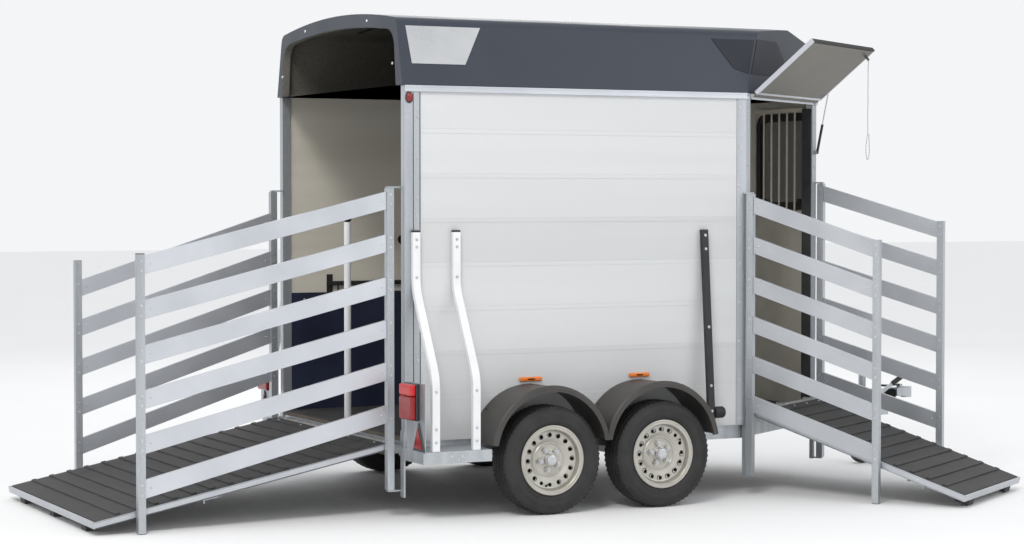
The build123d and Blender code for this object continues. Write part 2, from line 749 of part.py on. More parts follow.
rear_ramp_plane = ramp_plane(rear_hinge, Vector(-1, 0), rear_ramp_tilt)
side_ramp_plane = ramp_plane(side_hinge, outward, side_ramp_tilt)
rear_latch_x = 1000
side_latch_x = 1010
latch_pin_z = ramp_under - 10
latch_pin_radius = 4
latch_inset = 48  # from a ramp's edge to the middle of its latch
latch_width = 22
ear = 5


def foot_height(hinge_height, tilt, x):
    """The height, in a ramp's own plane, of the ground under x, kept one millimetre clear."""
    return (1 - hinge_height + x * sin(radians(tilt))) / cos(radians(tilt))


def ramp_frame_part(plane, length, half, lugs, latch_x):
    """The ramp's panel, its hinge barrels between the lugs and the pins of its two latches."""
    with BuildPart(plane) as frame:
        block(ramp_start, length, -half, half, ramp_under, ramp_top)
        block(0, ramp_start + 2, -half, half, -9, 5)
        rod_start, rod_end = (0, -half, 0), (0, half, 0)
        with Locations(Location((0, 0, 0), (90, 0, 0))):
            Cylinder(barrel_radius, 2 * half)
            Cylinder(pin_radius + running_gap, 2 * half + 2, mode=Mode.SUBTRACT)
        for y in lugs:
            gap = lug_width / 2 + 2
            block(-20, ramp_start + 8, y - gap, y + gap, -40, 40, mode=Mode.SUBTRACT)
        for sign in (-1, 1):
            middle = sign * (half - latch_inset)
            for y in (middle - latch_width / 2 - ear / 2 - 1, middle + latch_width / 2 + ear / 2 + 1):
                block(latch_x - 9, latch_x + 9, y - ear / 2, y + ear / 2, latch_pin_z - 8, ramp_under + 1)
            with Locations(Location((latch_x, middle, latch_pin_z), (90, 0, 0))):
                Cylinder(latch_pin_radius, latch_width + 2 + ear)
    return frame.part


def ramp_mat_part(plane, length, half, cleats, hinge_height, tilt, foot_ys):
    """The ribbed rubber mat and the rubber feet under the ramp's far end."""
    base = ramp_top + 0.3
    with BuildPart(plane) as mat:
        block(ramp_start + 12, length - 14, -half + 16, half - 16, base, mat_top)
        step = (length - 120) / cleats
        for i in range(cleats):
            x = 70 + step * i
            block(x, x + 26, -half + 30, half - 30, mat_top - 1, mat_top + cleat_height - 6)
        for y in foot_ys:
            tip = length - 6
            low = foot_height(hinge_height, tilt, tip)
            block(tip - foot_length, tip, y - 45, y + 45, low, ramp_under - 0.3)
    return mat.part


rear_args = (rear_ramp_plane, rear_ramp_length, rear_ramp_half)
side_args = (side_ramp_plane, side_ramp_length, side_ramp_half)
save(ramp_frame_part(*rear_args, rear_lug_ys, rear_latch_x), "rear_ramp_frame")
rear_feet = (242 - rear_ramp_half, 0, rear_ramp_half - 242)
side_feet = (170 - side_ramp_half, side_ramp_half - 170)
save(
    ramp_mat_part(*rear_args, rear_cleats, rear_hinge_height, rear_ramp_tilt, rear_feet), "rear_ramp_mat"
)
save(ramp_frame_part(*side_args, side_lug_ss, side_latch_x), "side_ramp_frame")
save(
    ramp_mat_part(*side_args, side_cleats, side_hinge_height, side_ramp_tilt, side_feet), "side_ramp_mat"
)


def latch(plane, half, reach, sign):
    """One ramp fastener folded under the panel: a flat arm with an eye round its pin and a hooked tip."""
    middle = sign * (half - latch_inset)
    y0, y1 = middle - latch_width / 2, middle + latch_width / 2
    with BuildPart(plane) as arm:
        block(reach, reach + 96, y0, y1, latch_pin_z - 4, latch_pin_z + 4)
        block(reach + 88, reach + 96, y0, y1, latch_pin_z - 18, latch_pin_z + 4)
        with Locations(Location((reach, middle, latch_pin_z), (90, 0, 0))):
            Cylinder(8, latch_width)
            Cylinder(latch_pin_radius + running_gap, latch_width + 2, mode=Mode.SUBTRACT)
    return arm.part


for name, plane, half, reach in (
    ("rear_ramp", rear_ramp_plane, rear_ramp_half, rear_latch_x),
    ("side_ramp", side_ramp_plane, side_ramp_half, side_latch_x),
):
    for end, sign in (("a", -1), ("b", 1)):
        save(latch(plane, half, reach, sign), f"{name}_latch_{end}")

# ---------------------------------------------------------------- gates


def gate(pin, direction, length, stile, rail_head, drop, rails, name):
    """A drive gate: a hinge stile, an outer stile down to the ground and sloping rails between them."""
    way = Vector(direction.X, direction.Y, 0)
    plane = Plane(origin=(pin.X, pin.Y, 0), x_dir=way, z_dir=way.cross(Vector(0, 0, 1)))
    half = gate_stile / 2
    foot, head = stile
    slope = drop / length
    tip_head = head - drop
    with BuildPart(plane) as stiles:
        block(-half, half, foot, head, -half, half)
        block(length - half, length + half, ground + 3, tip_head, -half, half)
        for y0, y1 in ((foot - 1, foot + 51), (head - 51, head + 1)):
            with Locations(Location((0, (y0 + y1) / 2, 0), (90, 0, 0))):
                Cylinder(gate_pin_radius + running_gap, y1 - y0, mode=Mode.SUBTRACT)
    save(stiles.part, f"{name}_stiles")
    x0, x1 = half + 0.3, length - half - 0.3
    with BuildPart() as bars:
        for i in range(rails):
            top = rail_head - gate_pitch * i
            with BuildSketch(plane):
                Polygon(
                    (x0, top - slope * x0), (x1, top - slope * x1), (x1, top - slope * x1 - gate_rail_height),
                    (x0, top - slope * x0 - gate_rail_height), align=None,
                )
            extrude(amount=gate_rail_thickness / 2, both=True)
    save(bars.part, f"{name}_rails")


rearwards = Vector(-1, 0)
right_pin = mirrored(rear_gate_pin)
near_pin, far_pin = side_gate_pins
near_stile, far_stile = side_gate_stiles
gate(right_pin, rearwards, right_gate_length, rear_gate_stile, ground + 1770, right_gate_drop, 6, "rear_gate_right")
gate(rear_gate_pin, rearwards, left_gate_length, left_gate_stile, ground + 1644, left_gate_drop, 5, "rear_gate_left")
gate(near_pin, outward, side_gate_length, near_stile, ground + 1742, near_gate_drop, 6, "side_gate_near")
gate(far_pin, outward, side_gate_length, far_stile, ground + 1808, far_gate_drop, 6, "side_gate_far")

# ---------------------------------------------------------------- flap, its gas strut and pull cord
flap_rise = radians(flap_rest_angle)
flap_way = Vector(outward.X * cos(flap_rise), outward.Y * cos(flap_rise), sin(flap_rise))
flap_plane = Plane(origin=flap_hinge, x_dir=flap_way, z_dir=flap_way.cross(along))
stud_x = 85
stud_radius = 5
strut_s = flap_half + 19
cord_x = 425
cord_s = flap_half - 52
eye_drop = 38

with BuildPart(flap_plane) as flap:
    reach = flap_length - 20
    block(16, reach, -flap_half + 3, flap_half - 3, -flap_thickness / 2, flap_thickness / 2)
    block(0, 18, -flap_half + 3, flap_half - 3, -6, 6)
    with Locations(Location((0, 0, 0), (90, 0, 0))):
        Cylinder(9, 2 * flap_half - 6)
        Cylinder(flap_pin_radius + running_gap, 2 * flap_half + 2, mode=Mode.SUBTRACT)
    with Locations(Location((stud_x, flap_half + 2, 0), (90, 0, 0))):
        Cylinder(stud_radius, 20)
    block(cord_x - 7, cord_x + 7, cord_s - 4, cord_s + 4, -eye_drop - 7, -flap_thickness / 2 + 1)
    with Locations(Location((cord_x, cord_s, -eye_drop), (90, 0, 0))):
        Cylinder(cord_diameter / 2 + 1, 20, mode=Mode.SUBTRACT)
save(flap.part, "flap_panel")


def in_strut_plane(o, z):
    """A point in the gas strut's plane, o outwards from the side doorway's wall line."""
    p = side_mid + outward * o + along * strut_s
    return Vector(p.X, p.Y, z)


strut_foot = in_strut_plane(strut_foot_out, strut_z)
strut_head = in_strut_plane(30 + stud_x * cos(flap_rise), flap_hinge.Z + stud_x * sin(flap_rise))
strut_way = (strut_head - strut_foot).normalized()
strut_tube_length = 176

with BuildPart() as tube:
    rod((strut_foot + strut_way * 8), (strut_foot + strut_way * strut_tube_length), 8)
    eye = strut_foot - along * 3.5
    rod(eye, (strut_foot + along * 3.5), 9)
    rod(strut_foot - along * 8, strut_foot + along * 8, strut_pin_radius + running_gap, mode=Mode.SUBTRACT)
    bore_start = strut_foot + strut_way * 20
    bore_end = strut_foot + strut_way * (strut_tube_length + 2)
    rod(bore_start, bore_end, 4 + running_gap, mode=Mode.SUBTRACT)
save(tube.part, "strut_tube")

with BuildPart() as strut_rod:
    rod((strut_foot + strut_way * 170.5), (strut_head - strut_way * 4), 4)
    rod((strut_head - along * 3), (strut_head + along * 3), 8)
save(strut_rod.part, "strut_rod")


def limp_route(points, diameter):
    """A cord's route as straight runs joined by tangent arcs, with each arc's radius printed."""
    points = [Vector(p) for p in points]
    radii = []
    for before, corner, after in zip(points, points[1:], points[2:]):
        turn = radians((corner - before).get_angle(after - corner))
        run = min((corner - before).length, (after - corner).length)
        radii.append(max(0.45 * run / tan(turn / 2), 3 * diameter))
    print("cord radii:", [round(radius) for radius in radii])
    return points, radii


eye = flap_plane.from_local_coords(Vector(cord_x, cord_s, -eye_drop))
cord_path = [
    (7.2, 0, 3), (5, -2, -60), (-2, 2, -128), (2, -1, -196), (-1, 2, -264), (2, -2, -332), (-2, 1, -398),
    (2, 0, -452), (-26, 1, -498), (-30, -1, -560), (-14, 1, -608), (14, -1, -608), (30, 1, -560),
    (27, -1, -500), (8, 4, -452),
]
route = [eye + along * a + outward * o + Vector(0, 0, z) for a, o, z in cord_path]
route_points, route_radii = limp_route(route, cord_diameter)

with BuildPart() as cord:
    with BuildLine() as cord_line:
        FilletPolyline(*route_points, radius=route_radii)
    with BuildSketch(Plane(origin=cord_line.wires()[0] @ 0, z_dir=cord_line.wires()[0] % 0)):
        Circle(cord_diameter / 2)
    sweep()
print("cord volume", round(cord.part.volume), "expected", round(cord_line.wires()[0].length * pi * cord_diameter**2 / 4))
print("cord length", round(cord_line.wires()[0].length))
save(cord.part, "pull_cord")

# ---------------------------------------------------------------- drawbar and coupling
ball_radius = 25
socket_radius = 25.4
housing_half = 45
drawbar_tip = -200
plate_half = 85.2
lever_pivot = Vector(-300, -59, -15)
lever_rise = radians(31)
jockey_x, jockey_y = -262, 118
stem_radius = 19
jockey_radius = 90
handle_pivot = (-50, 58)

with BuildPart() as drawbar:
    for flip in (False, True):
        plan = strip([Vector(nose_x + 8, -226), Vector(drawbar_tip - 10, -40)], 25, 25)
        upright([mirrored(p) for p in plan] if flip else plan, rail_z0, rail_z1)
    block(nose_x - fit_gap - 5, nose_x + 14, -270, 270, rail_z0 + 2, rail_z1 - 2)
    block(drawbar_tip - 130, drawbar_tip, -plate_half, plate_half, rail_z0, rail_z1)
save(drawbar.part, "drawbar")

with BuildPart() as housing:
    block(-440, -190, -housing_half, housing_half, rail_z1 + 0.3, 40)
    rod((-192, 0, 0), (-95, 0, 0), 27)
    pin_end = lever_pivot.Y - 12
    rod((lever_pivot.X, -housing_half + 2, lever_pivot.Z), (lever_pivot.X, pin_end, lever_pivot.Z), 8)
save(housing.part, "overrun_housing")

with BuildPart() as head:
    block(-94.5, 10, -34, 34, -10, 44)
    rod((0, 0, -20), (0, 0, 48), 37)
    for y in (-16, 16):
        block(-60, -40, y - 3, y + 3, 40, 68)
    rod((handle_pivot[0], -16, handle_pivot[1]), (handle_pivot[0], 16, handle_pivot[1]), 4)
    with Locations((0, 0, 0)):
        Sphere(socket_radius, mode=Mode.SUBTRACT)
    rod((0, 0, -40), (0, 0, 0), socket_radius, mode=Mode.SUBTRACT)
save(head.part, "coupling_head")

with BuildPart() as handle:
    rod((handle_pivot[0], -11.5, handle_pivot[1]), (handle_pivot[0], 11.5, handle_pivot[1]), 8)
    block(-175, -52, -10, 10, handle_pivot[1] - 2, handle_pivot[1] + 7)
    block(-190, -172, -18, 18, handle_pivot[1] - 4, handle_pivot[1] + 9)
    rod((handle_pivot[0], -13, handle_pivot[1]), (handle_pivot[0], 13, handle_pivot[1]), 4.05, mode=Mode.SUBTRACT)
save(handle.part, "coupling_handle")

lever_plane = Plane(
    origin=lever_pivot, x_dir=(cos(lever_rise), 0, sin(lever_rise)), z_dir=(-sin(lever_rise), 0, cos(lever_rise))
)
with BuildPart(lever_plane) as lever:
    block(-14, 190, -4, 4, -12, 12)
    with Locations(Location((0, 0, 0), (90, 0, 0))):
        Cylinder(18, 8)
        Cylinder(8 + running_gap, 20, mode=Mode.SUBTRACT)
    with Locations(Location((235, 0, 0), (0, 90, 0))):
        Cylinder(15, 120)
save(lever.part, "handbrake_lever")

with BuildPart() as jockey_tube:
    rod((jockey_x, jockey_y, ground + 320), (jockey_x, jockey_y, ground + 620), 24)
    block(jockey_x - 22, jockey_x + 22, plate_half + 0.3, jockey_y, rail_z0 + 8, rail_z1 - 8)
    bore_end = (jockey_x, jockey_y, ground + 610)
    rod((jockey_x, jockey_y, ground + 290), bore_end, stem_radius + running_gap, mode=Mode.SUBTRACT)
    rod((jockey_x, jockey_y, ground + 618), (jockey_x, jockey_y, ground + 650), 7)
    block(jockey_x - 8, jockey_x + 90, jockey_y - 8, jockey_y + 8, ground + 646, ground + 654)
    rod((jockey_x + 80, jockey_y, ground + 650), (jockey_x + 80, jockey_y, ground + 700), 10)
save(jockey_tube.part, "jockey_tube")

fork_top = ground + 2 * jockey_radius + 8
with BuildPart() as stem:
    rod((jockey_x, jockey_y, fork_top + 28), (jockey_x, jockey_y, ground + 410), stem_radius)
    rod((jockey_x, jockey_y, fork_top + 4), (jockey_x, jockey_y, fork_top + 30), 8)
save(stem.part, "jockey_stem")

with BuildPart() as fork:
    block(jockey_x - 24, jockey_x + 24, jockey_y - 38, jockey_y + 38, fork_top, fork_top + 8)
    rod((jockey_x, jockey_y, fork_top), (jockey_x, jockey_y, fork_top + 27.5), 20)
    for y in (jockey_y - 35, jockey_y + 35):
        block(jockey_x - 20, jockey_x + 20, y - 3, y + 3, ground + jockey_radius - 16, fork_top + 2)
    rod((jockey_x, jockey_y, fork_top + 3.5), (jockey_x, jockey_y, fork_top + 40), 8 + running_gap, mode=Mode.SUBTRACT)
    axle_z = ground + jockey_radius + 1
    rod((jockey_x, jockey_y - 36, axle_z), (jockey_x, jockey_y + 36, axle_z), 7)
save(fork.part, "jockey_fork")

with BuildPart() as jockey_wheel:
    rod((jockey_x, jockey_y - 25, axle_z), (jockey_x, jockey_y + 25, axle_z), jockey_radius)
    rod((jockey_x, jockey_y - 31, axle_z), (jockey_x, jockey_y + 31, axle_z), 22)
    edges = jockey_wheel.edges().filter_by(GeomType.CIRCLE).sort_by(SortBy.RADIUS)[-2:]
    fillet(edges, 12)
    rod((jockey_x, jockey_y - 40, axle_z), (jockey_x, jockey_y + 40, axle_z), 7 + running_gap, mode=Mode.SUBTRACT)
save(jockey_wheel.part, "jockey_wheel")
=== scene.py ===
"""Dresses the livestock trailer's frame: finishes, fittings, cord, camera and studio.

Lengths are in metres in the frame's own axes: +X forwards, +Y to the trailer's left, +Z up, with the
origin at the tow ball's centre.
"""

import json
import logging
import math
from collections.abc import Iterable, Iterator
from contextlib import contextmanager
from dataclasses import dataclass
from enum import Enum

import bpy
from mathutils import Matrix, Vector

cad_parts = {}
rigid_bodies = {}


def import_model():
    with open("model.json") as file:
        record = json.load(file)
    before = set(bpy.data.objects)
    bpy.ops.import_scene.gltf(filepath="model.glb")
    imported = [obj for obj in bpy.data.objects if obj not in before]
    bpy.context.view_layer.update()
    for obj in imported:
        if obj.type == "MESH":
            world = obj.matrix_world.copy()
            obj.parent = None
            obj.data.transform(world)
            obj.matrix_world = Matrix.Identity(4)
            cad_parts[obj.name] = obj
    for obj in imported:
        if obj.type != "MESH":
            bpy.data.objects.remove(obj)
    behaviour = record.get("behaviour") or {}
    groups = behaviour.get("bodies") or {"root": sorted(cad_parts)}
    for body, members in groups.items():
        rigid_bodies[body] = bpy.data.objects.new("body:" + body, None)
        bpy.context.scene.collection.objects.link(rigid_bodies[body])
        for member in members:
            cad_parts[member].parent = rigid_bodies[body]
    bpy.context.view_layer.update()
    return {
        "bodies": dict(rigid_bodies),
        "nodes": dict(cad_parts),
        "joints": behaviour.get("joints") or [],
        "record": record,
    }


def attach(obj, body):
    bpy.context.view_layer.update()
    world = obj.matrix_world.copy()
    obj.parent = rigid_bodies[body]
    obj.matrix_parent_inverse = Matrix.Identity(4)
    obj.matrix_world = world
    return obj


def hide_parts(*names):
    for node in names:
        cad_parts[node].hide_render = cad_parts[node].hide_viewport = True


log = logging.getLogger("trailer")

Point = tuple[float, float, float]
Colour = tuple[float, float, float]


# ------------------------------------------------------------------ finishes


class Grain(Enum):
    """How a finish's fine pattern is stretched."""

    EVEN = (1.0, 1.0, 1.0)
    ALONG_X = (0.06, 1.0, 1.0)
    ALONG_Z = (1.0, 1.0, 0.06)


class NodeBench:
    """Adds and joins the nodes of one material."""

    def __init__(self, name: str) -> None:
        """Starts a material with a single Principled shader.

        Args:
            name: The material's name.
        """
        self.material = bpy.data.materials.new(name)
        self.material.use_nodes = True
        self.tree = self.material.node_tree
        self.shader = self.tree.nodes["Principled BSDF"]
        self.place = self.tree.nodes.new("ShaderNodeTexCoord").outputs["Object"]

    def node(self, kind: str, **inputs: object) -> bpy.types.Node:
        """Adds a node and fills or joins its inputs.

        Args:
            kind: The node's type name after "ShaderNode".
            inputs: Input names, underscores for spaces, with a constant or a socket to join.

        Returns:
            The new node.
        """
        made = self.tree.nodes.new("ShaderNode" + kind)
        for name, value in inputs.items():
            self.feed(made.inputs[name.replace("_", " ")], value)
        return made

    def feed(self, socket: bpy.types.NodeSocket, value: object) -> None:
        """Sets an input socket, or joins it to an output.

        Args:
            socket: The input.
            value: A constant or another node's output.
        """
        if isinstance(value, bpy.types.NodeSocket):
            self.tree.links.new(value, socket)
        else:
            socket.default_value = value

    def stretched(self, grain: Grain, scale: float = 1.0) -> bpy.types.NodeSocket:
        """Gives Object coordinates stretched along a grain.

        Args:
            grain: The direction that the pattern runs in.
            scale: A factor on all three axes.

        Returns:
            The mapped coordinates.
        """
        factors = tuple(scale * f for f in grain.value)
        return self.node("Mapping", Vector=self.place, Scale=factors).outputs["Vector"]

    def noise(self, where: bpy.types.NodeSocket, scale: float, detail: float = 4.0) -> bpy.types.NodeSocket:
        """Gives a grey noise.

        Args:
            where: Coordinates.
            scale: Spots to the metre.
            detail: Octaves.

        Returns:
            The noise's factor.
        """
        made = self.node("TexNoise", Vector=where, Scale=scale, Detail=detail)
        return made.outputs[0]

    def spread(self, factor: bpy.types.NodeSocket, low: float, high: float) -> bpy.types.NodeSocket:
        """Maps the middle of a noise onto a range.

        Args:
            factor: The noise.
            low: The value at the noise's dark end.
            high: The value at its light end.

        Returns:
            The mapped value.
        """
        made = self.tree.nodes.new("ShaderNodeMapRange")
        self.feed(made.inputs["Value"], factor)
        for name, value in (("From Min", 0.3), ("From Max", 0.7), ("To Min", low), ("To Max", high)):
            made.inputs[name].default_value = value
        return made.outputs["Result"]

    def blend(
        self, factor: bpy.types.NodeSocket, first: object, second: object, kind: str = "MIX"
    ) -> bpy.types.NodeSocket:
        """Mixes two colours.

        Args:
            factor: How much of the second.
            first: A colour or a socket.
            second: A colour or a socket.
            kind: The blend type.

        Returns:
            The mixed colour.
        """
        made = self.tree.nodes.new("ShaderNodeMix")
        made.data_type, made.blend_type = "RGBA", kind
        self.feed(made.inputs["Factor"], factor)
        for socket, value in ((made.inputs["A"], first), (made.inputs["B"], second)):
            colour_socket = [s for s in made.inputs if s.name == socket.name and s.type == "RGBA"][0]
            self.feed(colour_socket, (*value, 1.0) if isinstance(value, tuple) else value)
        return [s for s in made.outputs if s.type == "RGBA"][0]

    def maths(self, operation: str, *values: object) -> bpy.types.NodeSocket:
        """Adds a Math node.

        Args:
            operation: The operation's name.
            values: Its inputs, in order.

        Returns:
            The result.
        """
        made = self.tree.nodes.new("ShaderNodeMath")
        made.operation = operation
        for socket, value in zip(made.inputs, values):
            self.feed(socket, value)
        return made.outputs[0]

    def axis(self, index: int) -> bpy.types.NodeSocket:
        """Gives one Object coordinate.

        Args:
            index: 0 for X, 1 for Y, 2 for Z.

        Returns:
            The coordinate.
        """
        return self.node("SeparateXYZ", Vector=self.place).outputs[index]

    def bump(self, height: bpy.types.NodeSocket, depth: float, strength: float = 1.0) -> None:
        """Roughens the shader's surface, on top of any bump that it already has.

        Args:
            height: The height pattern.
            depth: The pattern's depth in metres.
            strength: How strongly it shows.
        """
        earlier = self.shader.inputs["Normal"].links
        made = self.node("Bump", Height=height, Strength=strength, Distance=depth)
        if earlier:
            self.tree.links.new(earlier[0].from_socket, made.inputs["Normal"])
        self.tree.links.new(made.outputs["Normal"], self.shader.inputs["Normal"])

    def finish(self, colour: object, rough: object, metal: float = 0.0, **others: object) -> bpy.types.Material:
        """Sets the shader's main inputs.

        Args:
            colour: A colour or a socket.
            rough: A roughness or a socket.
            metal: The metallic value.
            others: Other shader inputs, underscores for spaces.

        Returns:
            The finished material.
        """
        self.feed(self.shader.inputs["Base Color"], (*colour, 1.0) if isinstance(colour, tuple) else colour)
        self.feed(self.shader.inputs["Roughness"], rough)
        self.shader.inputs["Metallic"].default_value = metal
        for name, value in others.items():
            self.feed(self.shader.inputs[name.replace("_", " ")], value)
        return self.material


@dataclass(frozen=True)
class Finish:
    """A plain worked finish: two shades mottled together, a roughness range and a fine bump."""

    name: str
    shade: Colour
    other: Colour
    rough: tuple[float, float] = (0.35, 0.5)
    metal: float = 0.0
    mottle: float = 6.0
    fine: float = 320.0
    depth: float = 0.0002
    grain: Grain = Grain.EVEN
    coat: float = 0.0

    def make(self) -> bpy.types.Material:
        """Builds the material.

        Returns:
            The material.
        """
        bench = NodeBench(self.name)
        broad = bench.noise(bench.place, self.mottle)
        fine = bench.noise(bench.stretched(self.grain), self.fine, 3.0)
        colour = bench.blend(bench.spread(broad, 0.0, 1.0), self.shade, self.other)
        bench.bump(fine, self.depth)
        rough = bench.spread(bench.maths("MULTIPLY_ADD", broad, 0.6, bench.maths("MULTIPLY", fine, 0.4)), *self.rough)
        return bench.finish(colour, rough, self.metal, Coat_Weight=self.coat, Coat_Roughness=0.15)


@dataclass(frozen=True)
class Galvanised:
    """Hot-dip zinc: crystal spangles, dull streaks and a soft grey sheen."""

    name: str = "galvanised_zinc"
    light: Colour = (0.56, 0.585, 0.61)
    dark: Colour = (0.36, 0.385, 0.41)
    spangle: float = 55.0

    def make(self) -> bpy.types.Material:
        """Builds the material.

        Returns:
            The material.
        """
        bench = NodeBench(self.name)
        warped = bench.node("VectorMath", Vector=bench.place)
        warped.operation = "ADD"
        jitter = bench.node("TexNoise", Vector=bench.place, Scale=40.0)
        bench.feed(warped.inputs[1], jitter.outputs[1])
        cells = bench.node("TexVoronoi", Vector=warped.outputs[0], Scale=self.spangle)
        grey = bench.node("SeparateColor", Color=cells.outputs["Color"]).outputs[0]
        cloud = bench.noise(bench.stretched(Grain.ALONG_Z), 14.0, 6.0)
        mixed = bench.maths("MULTIPLY_ADD", grey, 0.38, bench.maths("MULTIPLY", cloud, 0.62))
        colour = bench.blend(bench.spread(mixed, 0.0, 1.0), self.dark, self.light)
        bench.bump(bench.noise(bench.place, 240.0), 0.0002)
        return bench.finish(colour, bench.spread(mixed, 0.52, 0.34), 0.75)


@dataclass(frozen=True)
class Planks:
    """Wall planks: grooved joints, faint waves and dust near the sill, cream on the inside."""

    name: str
    outside: Colour = (0.575, 0.585, 0.59)
    inside: Colour = (0.56, 0.53, 0.45)
    sill: float = -0.04
    pitch: float = 0.242
    half_width: float = 0.92
    band: tuple[float, float] = (0.56, 0.70)
    nose: bool = False

    def make(self) -> bpy.types.Material:
        """Builds the material.

        Returns:
            The material.
        """
        bench = NodeBench(self.name)
        height = bench.maths("SUBTRACT", bench.axis(2), self.sill)
        course = bench.maths("DIVIDE", height, self.pitch)
        board = bench.maths("FLOOR", course)
        tone = bench.node("TexWhiteNoise")
        tone.noise_dimensions = "1D"
        bench.feed(tone.inputs["W"], board)
        waves = bench.noise(bench.stretched(Grain.ALONG_X), 5.0, 3.0)
        mixed = bench.maths("MULTIPLY_ADD", tone.outputs["Value"], 0.35, bench.maths("MULTIPLY", waves, 0.65))
        light = tuple(min(1.0, c * 1.06) for c in self.outside)
        dark = tuple(c * 0.955 for c in self.outside)
        colour = bench.blend(bench.spread(mixed, 0.0, 1.0), dark, light)
        inner = self.inner_side(bench)
        colour = bench.blend(inner, colour, bench.blend(bench.spread(waves, 0, 1), self.inside, (0.66, 0.63, 0.55)))
        dust = bench.node("MapRange", Value=bench.axis(2)).outputs[0]
        dust.node.inputs["From Min"].default_value = self.sill + 0.35
        dust.node.inputs["From Max"].default_value = self.sill
        specks = bench.maths("MULTIPLY", dust, bench.spread(bench.noise(bench.place, 9.0, 8.0), 0.0, 0.30))
        colour = bench.blend(specks, colour, (0.42, 0.40, 0.37))
        within = bench.maths("FRACT", course)
        joint = bench.maths("LESS_THAN", bench.maths("ABSOLUTE", bench.maths("SUBTRACT", within, 0.5)), 0.492)
        bench.bump(joint, 0.0012, 0.6)
        bench.bump(waves, 0.0035, 0.35)
        bench.bump(bench.noise(bench.place, 420.0, 2.0), 0.00012, 0.5)
        return bench.finish(colour, bench.spread(waves, 0.36, 0.5))

    def inner_side(self, bench: NodeBench) -> bpy.types.NodeSocket:
        """Marks the faces that look into the cabin.

        Args:
            bench: The material's nodes.

        Returns:
            1 on inner faces and 0 elsewhere.
        """
        geometry = bench.tree.nodes.new("ShaderNodeNewGeometry")
        normal = bench.node("SeparateXYZ", Vector=geometry.outputs["Normal"])
        across = bench.maths("MULTIPLY", normal.outputs[1], bench.axis(1))
        if not self.nose:
            return bench.maths("LESS_THAN", across, -0.1)
        shifted = bench.maths("ADD", bench.axis(0), 1.9)
        return bench.maths("LESS_THAN", bench.maths("MULTIPLY_ADD", normal.outputs[0], shifted, across), -0.1)


@dataclass(frozen=True)
class RubberMat:
    """Ramp and floor rubber: matt black with fine ribs, scuffs and pale dust."""

    name: str = "ribbed_rubber"
    shade: Colour = (0.018, 0.018, 0.02)
    dusty: Colour = (0.075, 0.073, 0.072)

    def make(self) -> bpy.types.Material:
        """Builds the material.

        Returns:
            The material.
        """
        bench = NodeBench(self.name)
        cloud = bench.noise(bench.place, 7.0, 10.0)
        scuff = bench.noise(bench.stretched(Grain.ALONG_X), 60.0, 6.0)
        mixed = bench.maths("MULTIPLY_ADD", cloud, 0.6, bench.maths("MULTIPLY", scuff, 0.4))
        colour = bench.blend(bench.spread(mixed, 0.0, 0.9), self.shade, self.dusty)
        bench.bump(bench.noise(bench.place, 500.0, 2.0), 0.0004)
        return bench.finish(colour, bench.spread(mixed, 0.62, 0.85))


@dataclass(frozen=True)
class Lens:
    """Moulded lamp plastic: a clear gloss skin over fine optics."""

    name: str
    shade: Colour
    ribs: float = 160.0

    def make(self) -> bpy.types.Material:
        """Builds the material.

        Returns:
            The material.
        """
        bench = NodeBench(self.name)
        wave = bench.node("TexChecker", Vector=bench.place, Scale=self.ribs).outputs["Fac"]
        deep = tuple(c * 0.55 for c in self.shade)
        colour = bench.blend(bench.maths("MULTIPLY", wave, 0.5), self.shade, deep)
        bench.bump(wave, 0.0005, 0.6)
        rough = bench.spread(bench.noise(bench.place, 30.0), 0.12, 0.22)
        return bench.finish(colour, rough, 0.0, Coat_Weight=0.3, Coat_Roughness=0.08)


@dataclass(frozen=True)
class RoofMoulding:
    """Anthracite moulded roof, olive-grey on the inside."""

    name: str = "roof_moulding"
    outside: Colour = (0.017, 0.023, 0.036)
    inside: Colour = (0.13, 0.125, 0.105)

    def make(self) -> bpy.types.Material:
        """Builds the material.

        Returns:
            The material.
        """
        bench = NodeBench(self.name)
        cloud = bench.noise(bench.place, 3.0, 6.0)
        lighter = tuple(c * 1.35 for c in self.outside)
        outer = bench.blend(bench.spread(cloud, 0.0, 1.0), self.outside, lighter)
        fibre = bench.noise(bench.place, 85.0, 8.0)
        inner = bench.blend(bench.spread(fibre, 0.0, 1.0), self.inside, (0.2, 0.19, 0.16))
        geometry = bench.tree.nodes.new("ShaderNodeNewGeometry")
        normal = bench.node("SeparateXYZ", Vector=geometry.outputs["Normal"])
        lift = bench.maths("SUBTRACT", bench.axis(2), 1.7)
        sideways = bench.maths("MULTIPLY", normal.outputs[1], bench.axis(1))
        outwards = bench.maths("MULTIPLY_ADD", normal.outputs[2], lift, sideways)
        facing_in = bench.maths("LESS_THAN", outwards, -0.05)
        front = bench.maths("MULTIPLY", normal.outputs[0], bench.maths("ADD", bench.axis(0), 2.6))
        facing_in = bench.maths("MULTIPLY", facing_in, bench.maths("LESS_THAN", front, 0.4))
        colour = bench.blend(facing_in, outer, inner)
        bench.bump(cloud, 0.003, 0.25)
        bench.bump(bench.noise(bench.place, 350.0, 2.0), 0.0001, 0.4)
        return bench.finish(colour, bench.spread(cloud, 0.36, 0.5), 0.0, Coat_Weight=0.08, Coat_Roughness=0.25)


@dataclass(frozen=True)
class PaneGlass:
    """Window pane darkened to paint the dark brownish reflection seen in it; its real tint is unknown."""

    name: str = "darkened_reflection_pane"

    def make(self) -> bpy.types.Material:
        """Builds the material.

        Returns:
            The material.
        """
        bench = NodeBench(self.name)
        smear = bench.noise(bench.place, 6.0, 6.0)
        # Painted reflection: the dark base colour with little transmission stands for the reflection, not for the
        # glass's own tint.
        return bench.finish(
            (0.075, 0.066, 0.058), bench.spread(smear, 0.03, 0.1), 0.0, Transmission_Weight=0.4, IOR=1.45, Alpha=0.9
        )


